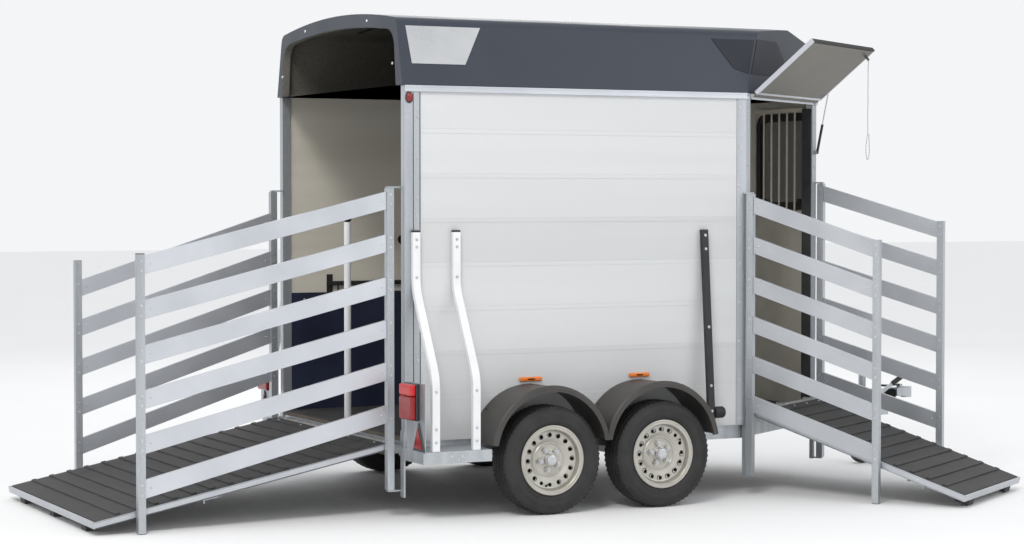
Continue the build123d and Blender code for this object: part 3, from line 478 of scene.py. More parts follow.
class FinishBook:
    """Makes each finish once and hands it out by name."""

    def __init__(self) -> None:
        """Collects every finish the trailer uses."""
        black = (0.012, 0.012, 0.013)
        self.finishes = {
            f.name: f
            for f in (
                Galvanised(),
                Planks("wall_planks"),
                Planks("nose_planks", nose=True),
                RubberMat(),
                RoofMoulding(),
                PaneGlass(),
                Lens("red_lamp_lens", (0.30, 0.003, 0.005)),
                Lens("orange_lamp_lens", (0.85, 0.2, 0.012)),
                Finish(
                    "deck_board", (0.09, 0.07, 0.055), (0.14, 0.11, 0.085),
                    (0.6, 0.75), fine=90, grain=Grain.ALONG_X,
                ),
                Finish("window_rubber", black, (0.02, 0.02, 0.02), (0.45, 0.6), fine=500),
                Finish("cream_bars", (0.76, 0.70, 0.58), (0.84, 0.78, 0.67), (0.3, 0.42), mottle=20),
                Finish(
                    "bright_aluminium", (0.54, 0.56, 0.60), (0.63, 0.65, 0.69),
                    (0.28, 0.42), 0.7, 3, 260, 0.00015, Grain.ALONG_X,
                ),
                Finish(
                    "mill_aluminium", (0.47, 0.49, 0.52), (0.56, 0.58, 0.61),
                    (0.34, 0.5), 0.7, 3, 260, 0.00015, Grain.ALONG_X,
                ),
                Finish(
                    "guard_plastic", (0.036, 0.033, 0.030), (0.056, 0.052, 0.048),
                    (0.38, 0.5), mottle=4, fine=650, depth=0.0003,
                ),
                Finish("white_powder_coat", (0.70, 0.71, 0.72), (0.77, 0.78, 0.79), (0.32, 0.44), mottle=8, fine=480),
                Finish("black_powder_coat", black, (0.022, 0.022, 0.023), (0.4, 0.55), mottle=10, fine=480),
                Finish("black_rubber", black, (0.03, 0.03, 0.03), (0.6, 0.8), mottle=12, fine=400, depth=0.0004),
                Finish("navy_board", (0.006, 0.009, 0.028), (0.012, 0.017, 0.045), (0.45, 0.6), mottle=5, fine=300),
                Finish("wheel_paint", (0.43, 0.415, 0.37), (0.51, 0.495, 0.45), (0.3, 0.42), 0.55, 9, 420, 0.0001),
                Finish(
                    "tyre_rubber", (0.013, 0.013, 0.0135), (0.03, 0.029, 0.028),
                    (0.62, 0.82), mottle=14, fine=380, depth=0.0004,
                ),
                Finish(
                    "ramp_panel", (0.20, 0.20, 0.195), (0.28, 0.28, 0.27),
                    (0.45, 0.6), mottle=6, fine=180, grain=Grain.ALONG_X,
                ),
                Finish(
                    "flap_board", (0.115, 0.108, 0.088), (0.165, 0.155, 0.13),
                    (0.4, 0.55), mottle=3, fine=140, grain=Grain.ALONG_X,
                ),
                Finish(
                    "cord_braid", (0.42, 0.42, 0.40), (0.62, 0.62, 0.6),
                    (0.7, 0.9), mottle=300, fine=900, depth=0.0004,
                ),
                Finish("polished_rod", (0.6, 0.6, 0.62), (0.68, 0.68, 0.7), (0.1, 0.2), 1.0),
                Finish("zinc_bolt", (0.5, 0.51, 0.53), (0.64, 0.65, 0.67), (0.25, 0.4), 0.9, 60, 500),
                Finish("badge_plate", (0.42, 0.43, 0.44), (0.48, 0.49, 0.5), (0.25, 0.35), 0.35, 5, 300),
                # The roof's navy darkened: painted shade for the flat nose panels that stand for recesses.
                Finish("navy_painted_recess_shade", (0.003, 0.005, 0.013), (0.005, 0.008, 0.018), (0.42, 0.55), mottle=3, fine=300),
                Finish("studio_paper", (0.87, 0.87, 0.87), (0.89, 0.89, 0.89), (0.7, 0.8), mottle=0.6, fine=40),
                Lens("bright_red_lens", (0.60, 0.008, 0.012), 90.0),
                Finish("black_gloss", black, (0.018, 0.018, 0.02), (0.15, 0.28), mottle=8, fine=300, coat=0.4),
            )
        }
        self.made: dict[str, bpy.types.Material] = {}

    def get(self, name: str) -> bpy.types.Material:
        """Gives a finish's material, building it on first use.

        Args:
            name: The finish's name.

        Returns:
            The material.
        """
        if name not in self.made:
            self.made[name] = self.finishes[name].make()
        return self.made[name]


# ------------------------------------------------------------------ places


@dataclass(frozen=True)
class Layout:
    """The trailer's driving sizes and the places worked out from them."""

    ground: float = -0.45
    nose_x: float = -0.942
    straight: float = 2.17
    half_width: float = 0.92
    nose_side: float = 1.065
    nose_angle: float = math.radians(33.5)
    sill: float = -0.04
    post_proud: float = 0.004
    axle_mid: float = -2.88
    axle_gap: float = 0.70
    track: float = 2.2
    wheel_radius: float = 0.298
    flap_angle: float = 40.0

    @property
    def shoulder_x(self) -> float:
        """Where the tapered nose begins."""
        return self.nose_x - self.nose_side * math.cos(self.nose_angle)

    @property
    def rear_x(self) -> float:
        """The rear posts' rear face."""
        return self.shoulder_x - self.straight

    @property
    def nose_half(self) -> float:
        """Half the flat front wall's width."""
        return self.half_width - self.nose_side * math.sin(self.nose_angle)

    @property
    def along(self) -> Vector:
        """The way along the right slanting wall, forwards."""
        return Vector((math.cos(self.nose_angle), math.sin(self.nose_angle), 0.0))

    @property
    def outward(self) -> Vector:
        """The right slanting wall's outward normal."""
        return Vector((math.sin(self.nose_angle), -math.cos(self.nose_angle), 0.0))

    @property
    def doorway(self) -> Vector:
        """The middle of the right slanting wall's outer face, at height zero."""
        return Vector(((self.shoulder_x + self.nose_x) / 2, -(self.half_width + self.nose_half) / 2, 0.0))

    @property
    def wheel_z(self) -> float:
        """The wheel centres' height."""
        return self.ground + self.wheel_radius

    @property
    def axles(self) -> tuple[float, float]:
        """The two axles' places along the trailer."""
        return self.axle_mid - self.axle_gap / 2, self.axle_mid + self.axle_gap / 2

    @property
    def flap_frame(self) -> Matrix:
        """The flap's own frame: X from the hinge to its free edge, Y along the wall, Z off its upper face."""
        tilt = math.radians(self.flap_angle)
        reach = self.outward * math.cos(tilt) + Vector((0, 0, math.sin(tilt)))
        face = Vector((0, 0, math.cos(tilt))) - self.outward * math.sin(tilt)
        return seat(self.by_door(0.030, 0.0, self.ground + 2.326), reach, face)

    @property
    def cord_eye(self) -> Vector:
        """The cord's eye in the flap's frame."""
        return Vector((0.425, 0.436, -0.038))

    def by_door(self, out: float, along: float, height: float) -> Vector:
        """Gives a point beside the side doorway.

        Args:
            out: How far outwards from the wall's face.
            along: How far forwards along the wall from its middle.
            height: The height in the frame.

        Returns:
            The point.
        """
        return self.doorway + self.outward * out + self.along * along + Vector((0, 0, height))


def seat(origin: Vector, x_way: Vector, z_way: Vector) -> Matrix:
    """Builds a local frame.

    Args:
        origin: Its origin.
        x_way: Its X direction.
        z_way: Its Z direction, square to x_way.

    Returns:
        The matrix from the local frame to the trailer's.
    """
    x_way, z_way = x_way.normalized(), z_way.normalized()
    y_way = z_way.cross(x_way)
    rows = Matrix((x_way, y_way, z_way)).transposed().to_4x4()
    rows.translation = origin
    return rows


# ------------------------------------------------------------------ workshop


class Workshop:
    """Models pieces with operators and hands them finished to a body."""

    def __init__(self, nodes: dict[str, bpy.types.Object], book: FinishBook) -> None:
        """Keeps what the pieces need.

        Args:
            nodes: The CAD nodes.
            book: The finishes.
        """
        self.nodes = nodes
        self.book = book

    @staticmethod
    def clear() -> None:
        """Leaves edit mode and deselects everything."""
        if bpy.context.mode != "OBJECT":
            bpy.ops.object.mode_set(mode="OBJECT")
        bpy.ops.object.select_all(action="DESELECT")

    def pick(self, *pieces: bpy.types.Object) -> bpy.types.Object:
        """Selects pieces and makes the first one active.

        Args:
            pieces: What to select.

        Returns:
            The active piece.
        """
        self.clear()
        for piece in pieces:
            piece.select_set(True)
        bpy.context.view_layer.objects.active = pieces[0]
        return pieces[0]

    @staticmethod
    def spawn(name: str, data: bpy.types.ID) -> bpy.types.Object:
        """Adds an object to the scene.

        Args:
            name: Its name.
            data: Its mesh or curve.

        Returns:
            The object.
        """
        piece = bpy.data.objects.new(name, data)
        bpy.context.scene.collection.objects.link(piece)
        return piece

    @contextmanager
    def editing(self, piece: bpy.types.Object) -> Iterator[None]:
        """Opens a piece in edit mode with everything selected.

        Args:
            piece: The piece.

        Yields:
            Nothing. Object mode comes back afterwards.
        """
        self.pick(piece)
        bpy.ops.object.mode_set(mode="EDIT")
        bpy.ops.mesh.select_all(action="SELECT")
        yield
        bpy.ops.object.mode_set(mode="OBJECT")

    def settle(self, piece: bpy.types.Object, place: Matrix | None = None) -> bpy.types.Object:
        """Puts a piece's place into its mesh and its object at the origin.

        Args:
            piece: The piece.
            place: A local frame that it was modelled in.

        Returns:
            The piece.
        """
        bpy.context.view_layer.update()
        moved = (place or Matrix.Identity(4)) @ piece.matrix_world
        piece.data.transform(moved)
        piece.matrix_world = Matrix.Identity(4)
        if moved.determinant() < 0:
            self.recalculate(piece)
        return piece

    def recalculate(self, piece: bpy.types.Object) -> None:
        """Turns a closed piece's faces outwards.

        Args:
            piece: The piece.
        """
        with self.editing(piece):
            bpy.ops.mesh.normals_make_consistent(inside=False)

    def bevelled(self, piece: bpy.types.Object, width: float, segments: int = 2, angle: float = 30.0) -> None:
        """Rounds a piece's sharp edges.

        Args:
            piece: The piece.
            width: The bevel's width.
            segments: Its segments.
            angle: Edges sharper than this, in degrees, are rounded.
        """
        self.pick(piece)
        bevel = piece.modifiers.new("bevel", "BEVEL")
        bevel.width, bevel.segments, bevel.limit_method = width, segments, "ANGLE"
        bevel.angle_limit = math.radians(angle)
        bevel.use_clamp_overlap = True
        bpy.ops.object.modifier_apply(modifier=bevel.name)
        bpy.ops.object.shade_smooth_by_angle(angle=math.radians(35))
        flat = piece.modifiers.new("flat", "WEIGHTED_NORMAL")
        flat.keep_sharp = True
        bpy.ops.object.modifier_apply(modifier=flat.name)

    def slab(self, name: str, low: Point, high: Point, bevel: float = 0.002, segments: int = 2) -> bpy.types.Object:
        """Models a block between two corners, with rounded edges.

        Args:
            name: The piece's name.
            low: The lowest corner.
            high: The highest corner.
            bevel: The rounding's width.
            segments: Its segments.

        Returns:
            The piece, in the frame that the corners are in.
        """
        self.clear()
        low_v, high_v = Vector(low), Vector(high)
        bpy.ops.mesh.primitive_cube_add(size=1.0, location=(low_v + high_v) / 2)
        piece = bpy.context.active_object
        piece.name, piece.scale = name, high_v - low_v
        self.settle(piece)
        if bevel:
            self.bevelled(piece, bevel, segments)
        return piece

    def drum(
        self, name: str, start: Point, end: Point, radius: float, sides: int = 32, bevel: float = 0.001
    ) -> bpy.types.Object:
        """Models a round or many-sided bar between two points.

        Args:
            name: The piece's name.
            start: One end's centre.
            end: The other end's centre.
            radius: The bar's radius.
            sides: The number of sides.
            bevel: The ends' rounding.

        Returns:
            The piece.
        """
        self.clear()
        start_v, end_v = Vector(start), Vector(end)
        way = end_v - start_v
        bpy.ops.mesh.primitive_cylinder_add(vertices=sides, radius=radius, depth=way.length)
        piece = bpy.context.active_object
        piece.name = name
        turn = way.to_track_quat("Z", "Y").to_matrix().to_4x4()
        turn.translation = (start_v + end_v) / 2
        self.settle(piece, turn)
        if bevel:
            self.bevelled(piece, bevel, 2, 50.0 if sides > 12 else 30.0)
        return piece

    def turned(
        self, name: str, profile: list[tuple[float, float]], place: Matrix, steps: int = 64, closed: bool = True
    ) -> bpy.types.Object:
        """Spins a profile of (radius, height) points about the local Z axis.

        Args:
            name: The piece's name.
            profile: Points in order. A closed profile makes a ring.
            place: The local frame.
            steps: Steps round the axis.
            closed: Whether the last point joins the first.

        Returns:
            The piece.
        """
        self.clear()
        mesh = bpy.data.meshes.new(name)
        count = len(profile)
        edges = [(i, i + 1) for i in range(count - 1)] + ([(count - 1, 0)] if closed else [])
        mesh.from_pydata([(r, 0.0, z) for r, z in profile], edges, [])
        piece = self.spawn(name, mesh)
        with self.editing(piece):
            bpy.ops.mesh.spin(steps=steps, angle=math.tau, center=(0, 0, 0), axis=(0, 0, 1))
            bpy.ops.mesh.select_all(action="SELECT")
            bpy.ops.mesh.remove_doubles(threshold=0.00002)
            bpy.ops.mesh.normals_make_consistent(inside=False)
        self.settle(piece, place)
        bpy.ops.object.shade_smooth_by_angle(angle=math.radians(32))
        return piece

    def prism(
        self, name: str, outline: list[tuple[float, float]], thickness: float, place: Matrix, bevel: float = 0.001
    ) -> bpy.types.Object:
        """Extrudes an outline along the local Z axis.

        Args:
            name: The piece's name.
            outline: The outline's (x, y) corners, in order.
            thickness: The extrusion's length.
            place: The local frame.
            bevel: The edges' rounding.

        Returns:
            The piece.
        """
        self.clear()
        mesh = bpy.data.meshes.new(name)
        mesh.from_pydata([(x, y, 0.0) for x, y in outline], [], [tuple(range(len(outline)))])
        piece = self.spawn(name, mesh)
        with self.editing(piece):
            bpy.ops.mesh.extrude_region_move(TRANSFORM_OT_translate={"value": (0, 0, thickness)})
            bpy.ops.mesh.select_all(action="SELECT")
            bpy.ops.mesh.normals_make_consistent(inside=False)
        self.settle(piece, place)
        if bevel:
            self.bevelled(piece, bevel)
        return piece

    def copies(self, name: str, master: bpy.types.Object, places: Iterable[Matrix]) -> bpy.types.Object:
        """Repeats a piece at several places and joins the copies.

        Args:
            name: The joined piece's name.
            master: The piece, modelled at the origin. It is used up.
            places: Where each copy goes.

        Returns:
            The joined piece.
        """
        made = [self.settle(self.spawn(name, master.data.copy()), place) for place in places]
        bpy.data.objects.remove(master)
        return self.joined(name, made)

    def joined(self, name: str, pieces: list[bpy.types.Object]) -> bpy.types.Object:
        """Joins pieces into one.

        Args:
            name: The joined piece's name.
            pieces: The pieces.

        Returns:
            The joined piece.
        """
        self.pick(*pieces)
        if len(pieces) > 1:
            bpy.ops.object.join()
        whole = bpy.context.active_object
        whole.name = name
        return whole

    def softened(
        self, node: str, width: float, merge_angle: float = 1.0, bevel_angle: float = 30.0
    ) -> bpy.types.Object:
        """Copies a CAD node with its edges rounded, and stands the copy in for it.

        Args:
            node: The CAD node.
            width: The rounding's width.
            merge_angle: Faces flatter than this to each other, in degrees, are merged.
            bevel_angle: Edges sharper than this are rounded.

        Returns:
            The copy.
        """
        self.clear()
        copy = self.spawn(f"{node}_finished", self.nodes[node].data.copy())
        with self.editing(copy):
            bpy.ops.mesh.remove_doubles(threshold=0.00001)
            bpy.ops.mesh.dissolve_limited(angle_limit=math.radians(merge_angle))
        if copy.data.has_custom_normals:
            bpy.ops.mesh.customdata_custom_splitnormals_clear()
        self.bevelled(copy, width, 2, bevel_angle)
        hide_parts(node)
        return copy

    def dress(self, piece: bpy.types.Object, finish: str, body: str, slot: str) -> bpy.types.Object:
        """Gives a piece its finish and its body.

        Args:
            piece: The piece.
            finish: The finish's name.
            body: The CAD body that it moves with.
            slot: The record's material slot; not used.

        Returns:
            The piece.
        """
        piece.data.materials.clear()
        piece.data.materials.append(self.book.get(finish))
        for polygon in piece.data.polygons:
            polygon.material_index = 0
        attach(piece, body)
        log.info("%s rides on %s", piece.name, body)
        return piece

    def coat(self, node: str, finish: str) -> None:
        """Gives a CAD node a better material.

        Args:
            node: The node.
            finish: The finish's name.
        """
        shown = self.nodes[node]
        if not shown.material_slots:
            shown.data.materials.append(None)
        for place in shown.material_slots:
            place.material = self.book.get(finish)

    def hex_bolt(self, radius: float = 0.009, height: float = 0.006) -> bpy.types.Object:
        """Models a hexagon bolt head on a washer, standing on the local XY plane.

        Args:
            radius: The head's radius over its corners.
            height: The head's height.

        Returns:
            The bolt head.
        """
        washer = self.drum("washer", (0, 0, 0), (0, 0, 0.0016), radius * 1.35, 20, 0.0004)
        head = self.drum("head", (0, 0, 0.0014), (0, 0, height), radius, 6, 0.0012)
        return self.joined("bolt", [head, washer])

    def button_bolt(self, radius: float = 0.008) -> bpy.types.Object:
        """Models a low round bolt head, standing on the local XY plane.

        Args:
            radius: The head's radius.

        Returns:
            The bolt head.
        """
        r = radius
        profile = [(0.0, 0.55 * r), (0.35 * r, 0.52 * r), (0.7 * r, 0.4 * r), (0.93 * r, 0.2 * r), (r, 0.0), (0.0, 0.0)]
        return self.turned("button", profile, Matrix.Identity(4), 16, closed=False)


# ------------------------------------------------------------------ camera, light and cord


@dataclass(frozen=True)
class Studio:
    """The camera, the pale floor and the soft lights."""

    camera_place: Point = (-9.1238, -12.3365, 1.2857)
    camera_turn: Point = (math.pi / 2 - 0.0324, 0.0, -0.4683)
    camera_lens: float = 81.53

    def camera(self) -> bpy.types.Object:
        """Places the camera.

        Returns:
            The camera.
        """
        camera = bpy.data.objects.new("view", bpy.data.cameras.new("view"))
        camera.location, camera.rotation_euler = self.camera_place, self.camera_turn
        camera.data.lens, camera.data.sensor_width = self.camera_lens, 36.0
        camera.data.clip_end = 200.0
        bpy.context.scene.collection.objects.link(camera)
        bpy.context.scene.camera = camera
        return camera

    def lamp(self, name: str, place: Point, target: Point, size: float, power: float, shade: Colour) -> None:
        """Adds a square soft light.

        Args:
            name: The light's name.
            place: Where it stands.
            target: What it faces.
            size: Its side.
            power: Its watts.
            shade: Its colour.
        """
        data = bpy.data.lights.new(name, "AREA")
        data.size, data.energy, data.color = size, power, shade
        light = bpy.data.objects.new(name, data)
        light.location = place
        light.rotation_euler = (Vector(target) - Vector(place)).to_track_quat("-Z", "Y").to_euler()
        bpy.context.scene.collection.objects.link(light)

    def make(self, at: Layout, book: "FinishBook") -> None:
        """Builds the floor, the lights and the sky.

        Args:
            at: The trailer's places.
            book: The finishes.
        """
        bpy.ops.object.select_all(action="DESELECT")
        bpy.ops.mesh.primitive_plane_add(size=120.0, location=(-2.5, 0, at.ground - 0.0005))
        floor = bpy.context.active_object
        floor.name = "studio_floor"
        floor.data.materials.append(book.get("studio_paper"))
        self.lamp("key", (-8.5, -7.0, 8.5), (-2.6, 0.0, 0.9), 2.6, 500.0, (1.0, 0.985, 0.96))
        self.lamp("fill", (4.0, -9.0, 5.0), (-1.8, 0.0, 0.6), 5.0, 110.0, (0.95, 0.975, 1.0))
        self.lamp("rim", (1.0, 9.0, 6.0), (-2.5, 0.0, 1.0), 5.0, 120.0, (1.0, 1.0, 1.0))
        world = bpy.data.worlds.new("sky")
        world.use_nodes = True
        backdrop = world.node_tree.nodes["Background"]
        backdrop.inputs["Color"].default_value = (0.975, 0.985, 1.0, 1.0)
        backdrop.inputs["Strength"].default_value = 0.93
        bpy.context.scene.world = world
        bpy.context.scene.view_settings.view_transform = "Standard"


@dataclass(frozen=True)
class PullCord:
    """The flap's pull cord: a strand from the eye, a doubled stretch and a loop."""

    diameter: float = 0.005
    length: float = 0.802
    route: tuple[Point, ...] = (
        (0.0072, 0.0, 0.003),
        (0.005, -0.002, -0.060),
        (-0.002, 0.002, -0.128),
        (0.002, -0.001, -0.196),
        (-0.001, 0.002, -0.264),
        (0.002, -0.002, -0.332),
        (-0.002, 0.001, -0.398),
        (0.002, 0.0, -0.452),
        (-0.026, 0.001, -0.498),
        (-0.030, -0.001, -0.560),
        (-0.014, 0.001, -0.608),
        (0.014, -0.001, -0.608),
        (0.030, 0.001, -0.560),
        (0.027, -0.001, -0.500),
        (0.008, 0.004, -0.452),
    )

    def make(self, shop: Workshop, at: Layout) -> None:
        """Builds the cord as a curve.

        Args:
            shop: The workshop.
            at: The trailer's places.
        """
        eye = at.flap_frame @ at.cord_eye
        points = [eye + at.along * a + at.outward * o + Vector((0, 0, z)) for a, o, z in self.route]
        data = bpy.data.curves.new("pull_cord_strand", "CURVE")
        data.dimensions, data.resolution_u = "3D", 16
        data.bevel_depth, data.bevel_resolution, data.use_fill_caps = self.diameter / 2, 3, True
        spline = data.splines.new("NURBS")
        spline.points.add(len(points) - 1)
        for control, point in zip(spline.points, points):
            control.co = (*point, 1.0)
        spline.order_u = 3
        spline.use_endpoint_u = True
        strand = shop.spawn("pull_cord_strand", data)
        data.materials.append(shop.book.get("cord_braid"))
        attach(strand, "pull_cord")
        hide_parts("pull_cord")


# ------------------------------------------------------------------ sub-assemblies


@dataclass
class Assembly:
    """What every sub-assembly works with."""

    shop: Workshop
    at: Layout

    def bolts(
        self, name: str, places: Iterable[Matrix], body: str, finish: str = "zinc_bolt", slot: str = "galvanised",
        radius: float = 0.008,
    ) -> bpy.types.Object:
        """Sets hexagon bolt heads on a body.

        Args:
            name: The joined piece's name.
            places: Each head's seat, Z outwards.
            body: The body that they ride on.
            finish: Their finish.
            slot: Their slot.
            radius: Each head's radius.

        Returns:
            The joined bolt heads.
        """
        heads = self.shop.copies(name, self.shop.hex_bolt(radius, radius * 0.7), places)
        return self.shop.dress(heads, finish, body, slot)

    def fit(
        self, name: str, pieces: list[bpy.types.Object], finish: str, slot: str, body: str = "trailer"
    ) -> bpy.types.Object:
        """Joins pieces and gives them a finish.

        Args:
            name: The joined piece's name.
            pieces: The pieces.
            finish: Their finish.
            slot: Their slot.
            body: Their body.

        Returns:
            The joined piece.
        """
        return self.shop.dress(self.shop.joined(name, pieces), finish, body, slot)

    def buttons(
        self, name: str, places: Iterable[Matrix], radius: float, finish: str, slot: str, body: str = "trailer"
    ) -> bpy.types.Object:
        """Sets low round heads on a body.

        Args:
            name: The joined piece's name.
            places: Each head's seat, Z outwards.
            radius: Each head's radius.
            finish: Their finish.
            slot: Their slot.
            body: Their body.

        Returns:
            The joined heads.
        """
        heads = self.shop.copies(name, self.shop.button_bolt(radius), places)
        return self.shop.dress(heads, finish, body, slot)

    def soften(self, node: str, finish: str, body: str, slot: str, width: float = 0.0015) -> bpy.types.Object:
        """Rounds a CAD node's edges and gives it a finish.

        Args:
            node: The CAD node.
            finish: Its finish.
            body: Its body.
            slot: Its slot.
            width: The rounding's width.

        Returns:
            The finished piece.
        """
        return self.shop.dress(self.shop.softened(node, width), finish, body, slot)


@dataclass
class Roof(Assembly):
    """The moulded roof: rim bolts, black strips on its inside that are painted shadow lines, and a blank badge plate
    and a dark nose panel on each side, the panel's extra darkness being painted recess shade.
    """

    hem: float = 2.338
    shoulder: float = 2.705
    lip: float = 0.932
    inset: float = 0.850

    def side_y(self, height: float) -> float:
        """Gives how far out the roof's side stands at a height above the ground.

        Args:
            height: The height above the ground.

        Returns:
            The distance from the centre plane.
        """
        return self.lip - (self.lip - self.inset) * (height - self.hem) / (self.shoulder - self.hem)

    def make(self) -> None:
        """Builds the roof's pieces."""
        at, shop = self.at, self.shop
        self.soften("roof_shell", "roof_moulding", "trailer", "roof_plastic", 0.004)
        lean = math.atan2(self.lip - self.inset, self.shoulder - self.hem)
        for side, label in ((-1, "right"), (1, "left")):
            normal = Vector((0, side * math.cos(lean), math.sin(lean)))
            way = Vector((1, 0, 0))
            low = 2.455
            start = Vector((at.rear_x, side * (self.side_y(low) + 0.0004), at.ground + low))
            place = seat(start, way, normal)
            up = 1.0 if place.to_3x3().col[1].z > 0 else -1.0
            outline = [(0.052, 0.0), (0.372, 0.0), (0.484, 0.212 * up), (0.034, 0.212 * up)]
            plate = shop.prism(f"badge_plate_{label}", outline, 0.003, place, 0.001)
            shop.dress(plate, "badge_plate", "trailer", "bright_aluminium")
            self.nose_panel(side, label, lean)
        rim_x = at.rear_x - 0.015
        spots = [(-0.80, 2.46), (-0.45, 2.712), (0.47, 2.712), (0.84, 2.46)]
        seats = [seat(Vector((rim_x, y, at.ground + z)), Vector((0, 1, 0)), Vector((-1, 0, 0))) for y, z in spots]
        self.buttons("roof_rim_bolts", seats, 0.009, "polished_rod", "bright_aluminium")
        # Painted shadow: thin black strips just under the roof's inside stand for the dark shadow lines there, not for
        # parts of their own.
        ribs = []
        for x in (-3.62, -3.12, -2.62, -2.12):
            outline = []
            for i in range(13):
                y = -0.62 + i * 1.24 / 12
                outline.append((y, 2.705 + 0.057 * (1 - (y / 0.85) ** 2) - 0.0075))
            lower = [(y, z - 0.006) for y, z in reversed(outline)]
            place = seat(Vector((x, 0, at.ground)), Vector((0, 1, 0)), Vector((1, 0, 0)))
            ribs.append(shop.prism("rib", outline + lower, 0.022, place, 0.0))
        self.fit("roof_ribs", ribs, "black_rubber", "roof_plastic")

    def nose_panel(self, side: int, label: str, lean: float) -> None:
        """Sets one flat dark panel over the roof's corner, part on its side and part on its slanting nose; its navy,
        darker than the roof's, is painted recess shade.

        Args:
            side: -1 on the right and 1 on the left.
            label: The side's word.
            lean: How far the roof's side leans in, in radians.
        """
        at = self.at
        along = Vector((at.along.x, -side * at.along.y, 0))
        outward = Vector((at.outward.x, -side * at.outward.y, 0))
        low = 2.45
        corner = Vector((at.shoulder_x, side * at.half_width, at.ground + low))
        place = seat(corner + outward * (self.lip - at.half_width + 0.0004), along, outward)
        up = 1.0 if place.to_3x3().col[1].z > 0 else -1.0
        outline = [(0.052, 0.0), (0.44, 0.0), (0.55, 0.08 * up), (0.42, 0.205 * up), (0.132, 0.205 * up)]
        front = self.shop.prism("panel", outline, 0.003, place, 0.001)
        start = Vector((at.shoulder_x, side * (self.side_y(low) + 0.0004), at.ground + low))
        flat = seat(start, Vector((1, 0, 0)), Vector((0, side * math.cos(lean), math.sin(lean))))
        up = 1.0 if flat.to_3x3().col[1].z > 0 else -1.0
        outline = [(-0.07, 0.03 * up), (0.030, 0.0), (0.096, 0.205 * up), (-0.20, 0.205 * up)]
        panel = self.shop.joined(f"nose_panel_{label}", [front, self.shop.prism("panel", outline, 0.003, flat, 0.001)])
        # Painted shade: the panel is flat, and its darker navy stands for the shade inside the roof's recess.
        self.shop.dress(panel, "navy_painted_recess_shade", "trailer", "roof_plastic")


@dataclass
class Shell(Assembly):
    """Posts, door frame and eave trims, with their bolts and seals."""

    def make(self) -> None:
        """Builds the shell's fittings."""
        at, shop = self.at, self.shop
        for node in ("rear_posts", "doorway_frame", "wing_brackets", "chassis_frame"):
            self.soften(node, "galvanised_zinc", "trailer", "galvanised", 0.0012)
        face = at.half_width + at.post_proud
        seats = []
        for side in (-1, 1):
            out = Vector((0, side, 0))
            for step in range(8):
                z = 0.18 + step * 0.22
                seats.append(seat(Vector((at.rear_x + 0.078, side * face, z)), Vector((1, 0, 0)), out))
            for step in range(9):
                z = 0.0 + step * 0.225
                seats.append(seat(Vector((at.shoulder_x - 0.042, side * face, z)), Vector((1, 0, 0)), out))
        self.bolts("post_bolts", seats, "trailer", radius=0.006)
        self.lips()
        door = []
        for s in (-0.505, 0.505):
            for step in range(7):
                origin = at.by_door(at.post_proud, s, 0.12 + step * 0.27)
                door.append(seat(origin, at.along, at.outward))
        self.bolts("door_post_bolts", door, "trailer", radius=0.006)
        seal = []
        for s in (-0.4705, 0.4705):
            foot = at.by_door(-0.034, s - 0.003, 0.03)
            place = seat(foot, at.along, Vector((0, 0, 1)))
            seal.append(shop.prism("strip", [(0, -0.03), (0.006, -0.03), (0.006, 0.03), (0, 0.03)], 1.80, place, 0.002))
        self.fit("door_seals", seal, "black_rubber", "window_rubber")

    def lips(self) -> None:
        """Sets the bright folded edge and the dark seam of each corner post."""
        at, shop = self.at, self.shop
        face = at.half_width + at.post_proud
        bright, dark = [], []
        for side in (-1, 1):
            for x in (at.rear_x + 0.0525, at.rear_x + 0.092):
                low = (x - 0.0015, min(side * face, side * (face + 0.0025)), at.sill + 0.02)
                high = (x + 0.0015, max(side * face, side * (face + 0.0025)), 1.85)
                dark.append(shop.slab("seam", low, high, 0.0005))
            for z in (1.8565, 1.8845):
                low = (at.rear_x + 0.1, min(side * face, side * (face + 0.011)), z - 0.0025)
                high = (at.shoulder_x - 0.01, max(side * face, side * (face + 0.011)), z + 0.0025)
                bright.append(shop.slab("bead", low, high, 0.001))
        self.fit("post_seams", dark, "black_rubber", "window_rubber")
        self.fit("eave_beads", bright, "bright_aluminium", "bright_aluminium")


@dataclass
class Flap(Assembly):
    """The side flap: its board, bright side and hinge edges, black free edge and hinge screws."""

    length: float = 0.480
    half: float = 0.485
    half_thick: float = 0.011

    def make(self) -> None:
        """Builds the flap's pieces."""
        shop, place = self.shop, self.at.flap_frame
        self.soften("flap_panel", "flap_board", "flap", "flap_panel", 0.001)
        t = self.half_thick + 0.0018
        edges = [
            shop.slab("edge", (0.018, min(inner, outer), -t), (self.length, max(inner, outer), t), 0.001)
            for inner, outer in ((-self.half + 0.012, -self.half - 0.0026), (self.half - 0.012, self.half + 0.0026))
        ]
        edges.append(shop.slab("edge", (0.018, -self.half, -t), (0.034, self.half, t), 0.001))
        frame = shop.settle(shop.joined("flap_edges", edges), place)
        shop.dress(frame, "bright_aluminium", "flap", "bright_aluminium")
        far = self.length + 0.0012
        lip = shop.slab("flap_free_edge", (self.length - 0.012, -self.half, -t), (far, self.half, t), 0.003)
        shop.dress(shop.settle(lip, place), "black_rubber", "flap", "window_rubber")
        down = []
        for s in (-0.42, -0.21, 0.0, 0.21, 0.42):
            spot = place @ Vector((0.023, s, -t))
            down.append(seat(spot, self.at.along, -(place.to_3x3().col[2])))
        self.buttons("flap_screws", down, 0.005, "zinc_bolt", "galvanised", "flap")
        wide = self.half - 0.012
        band = shop.slab("flap_back_sheet", (0.034, -wide, self.half_thick), (0.466, wide, t - 0.0004), 0.0006)
        shop.dress(shop.settle(band, place), "bright_aluminium", "flap", "bright_aluminium")


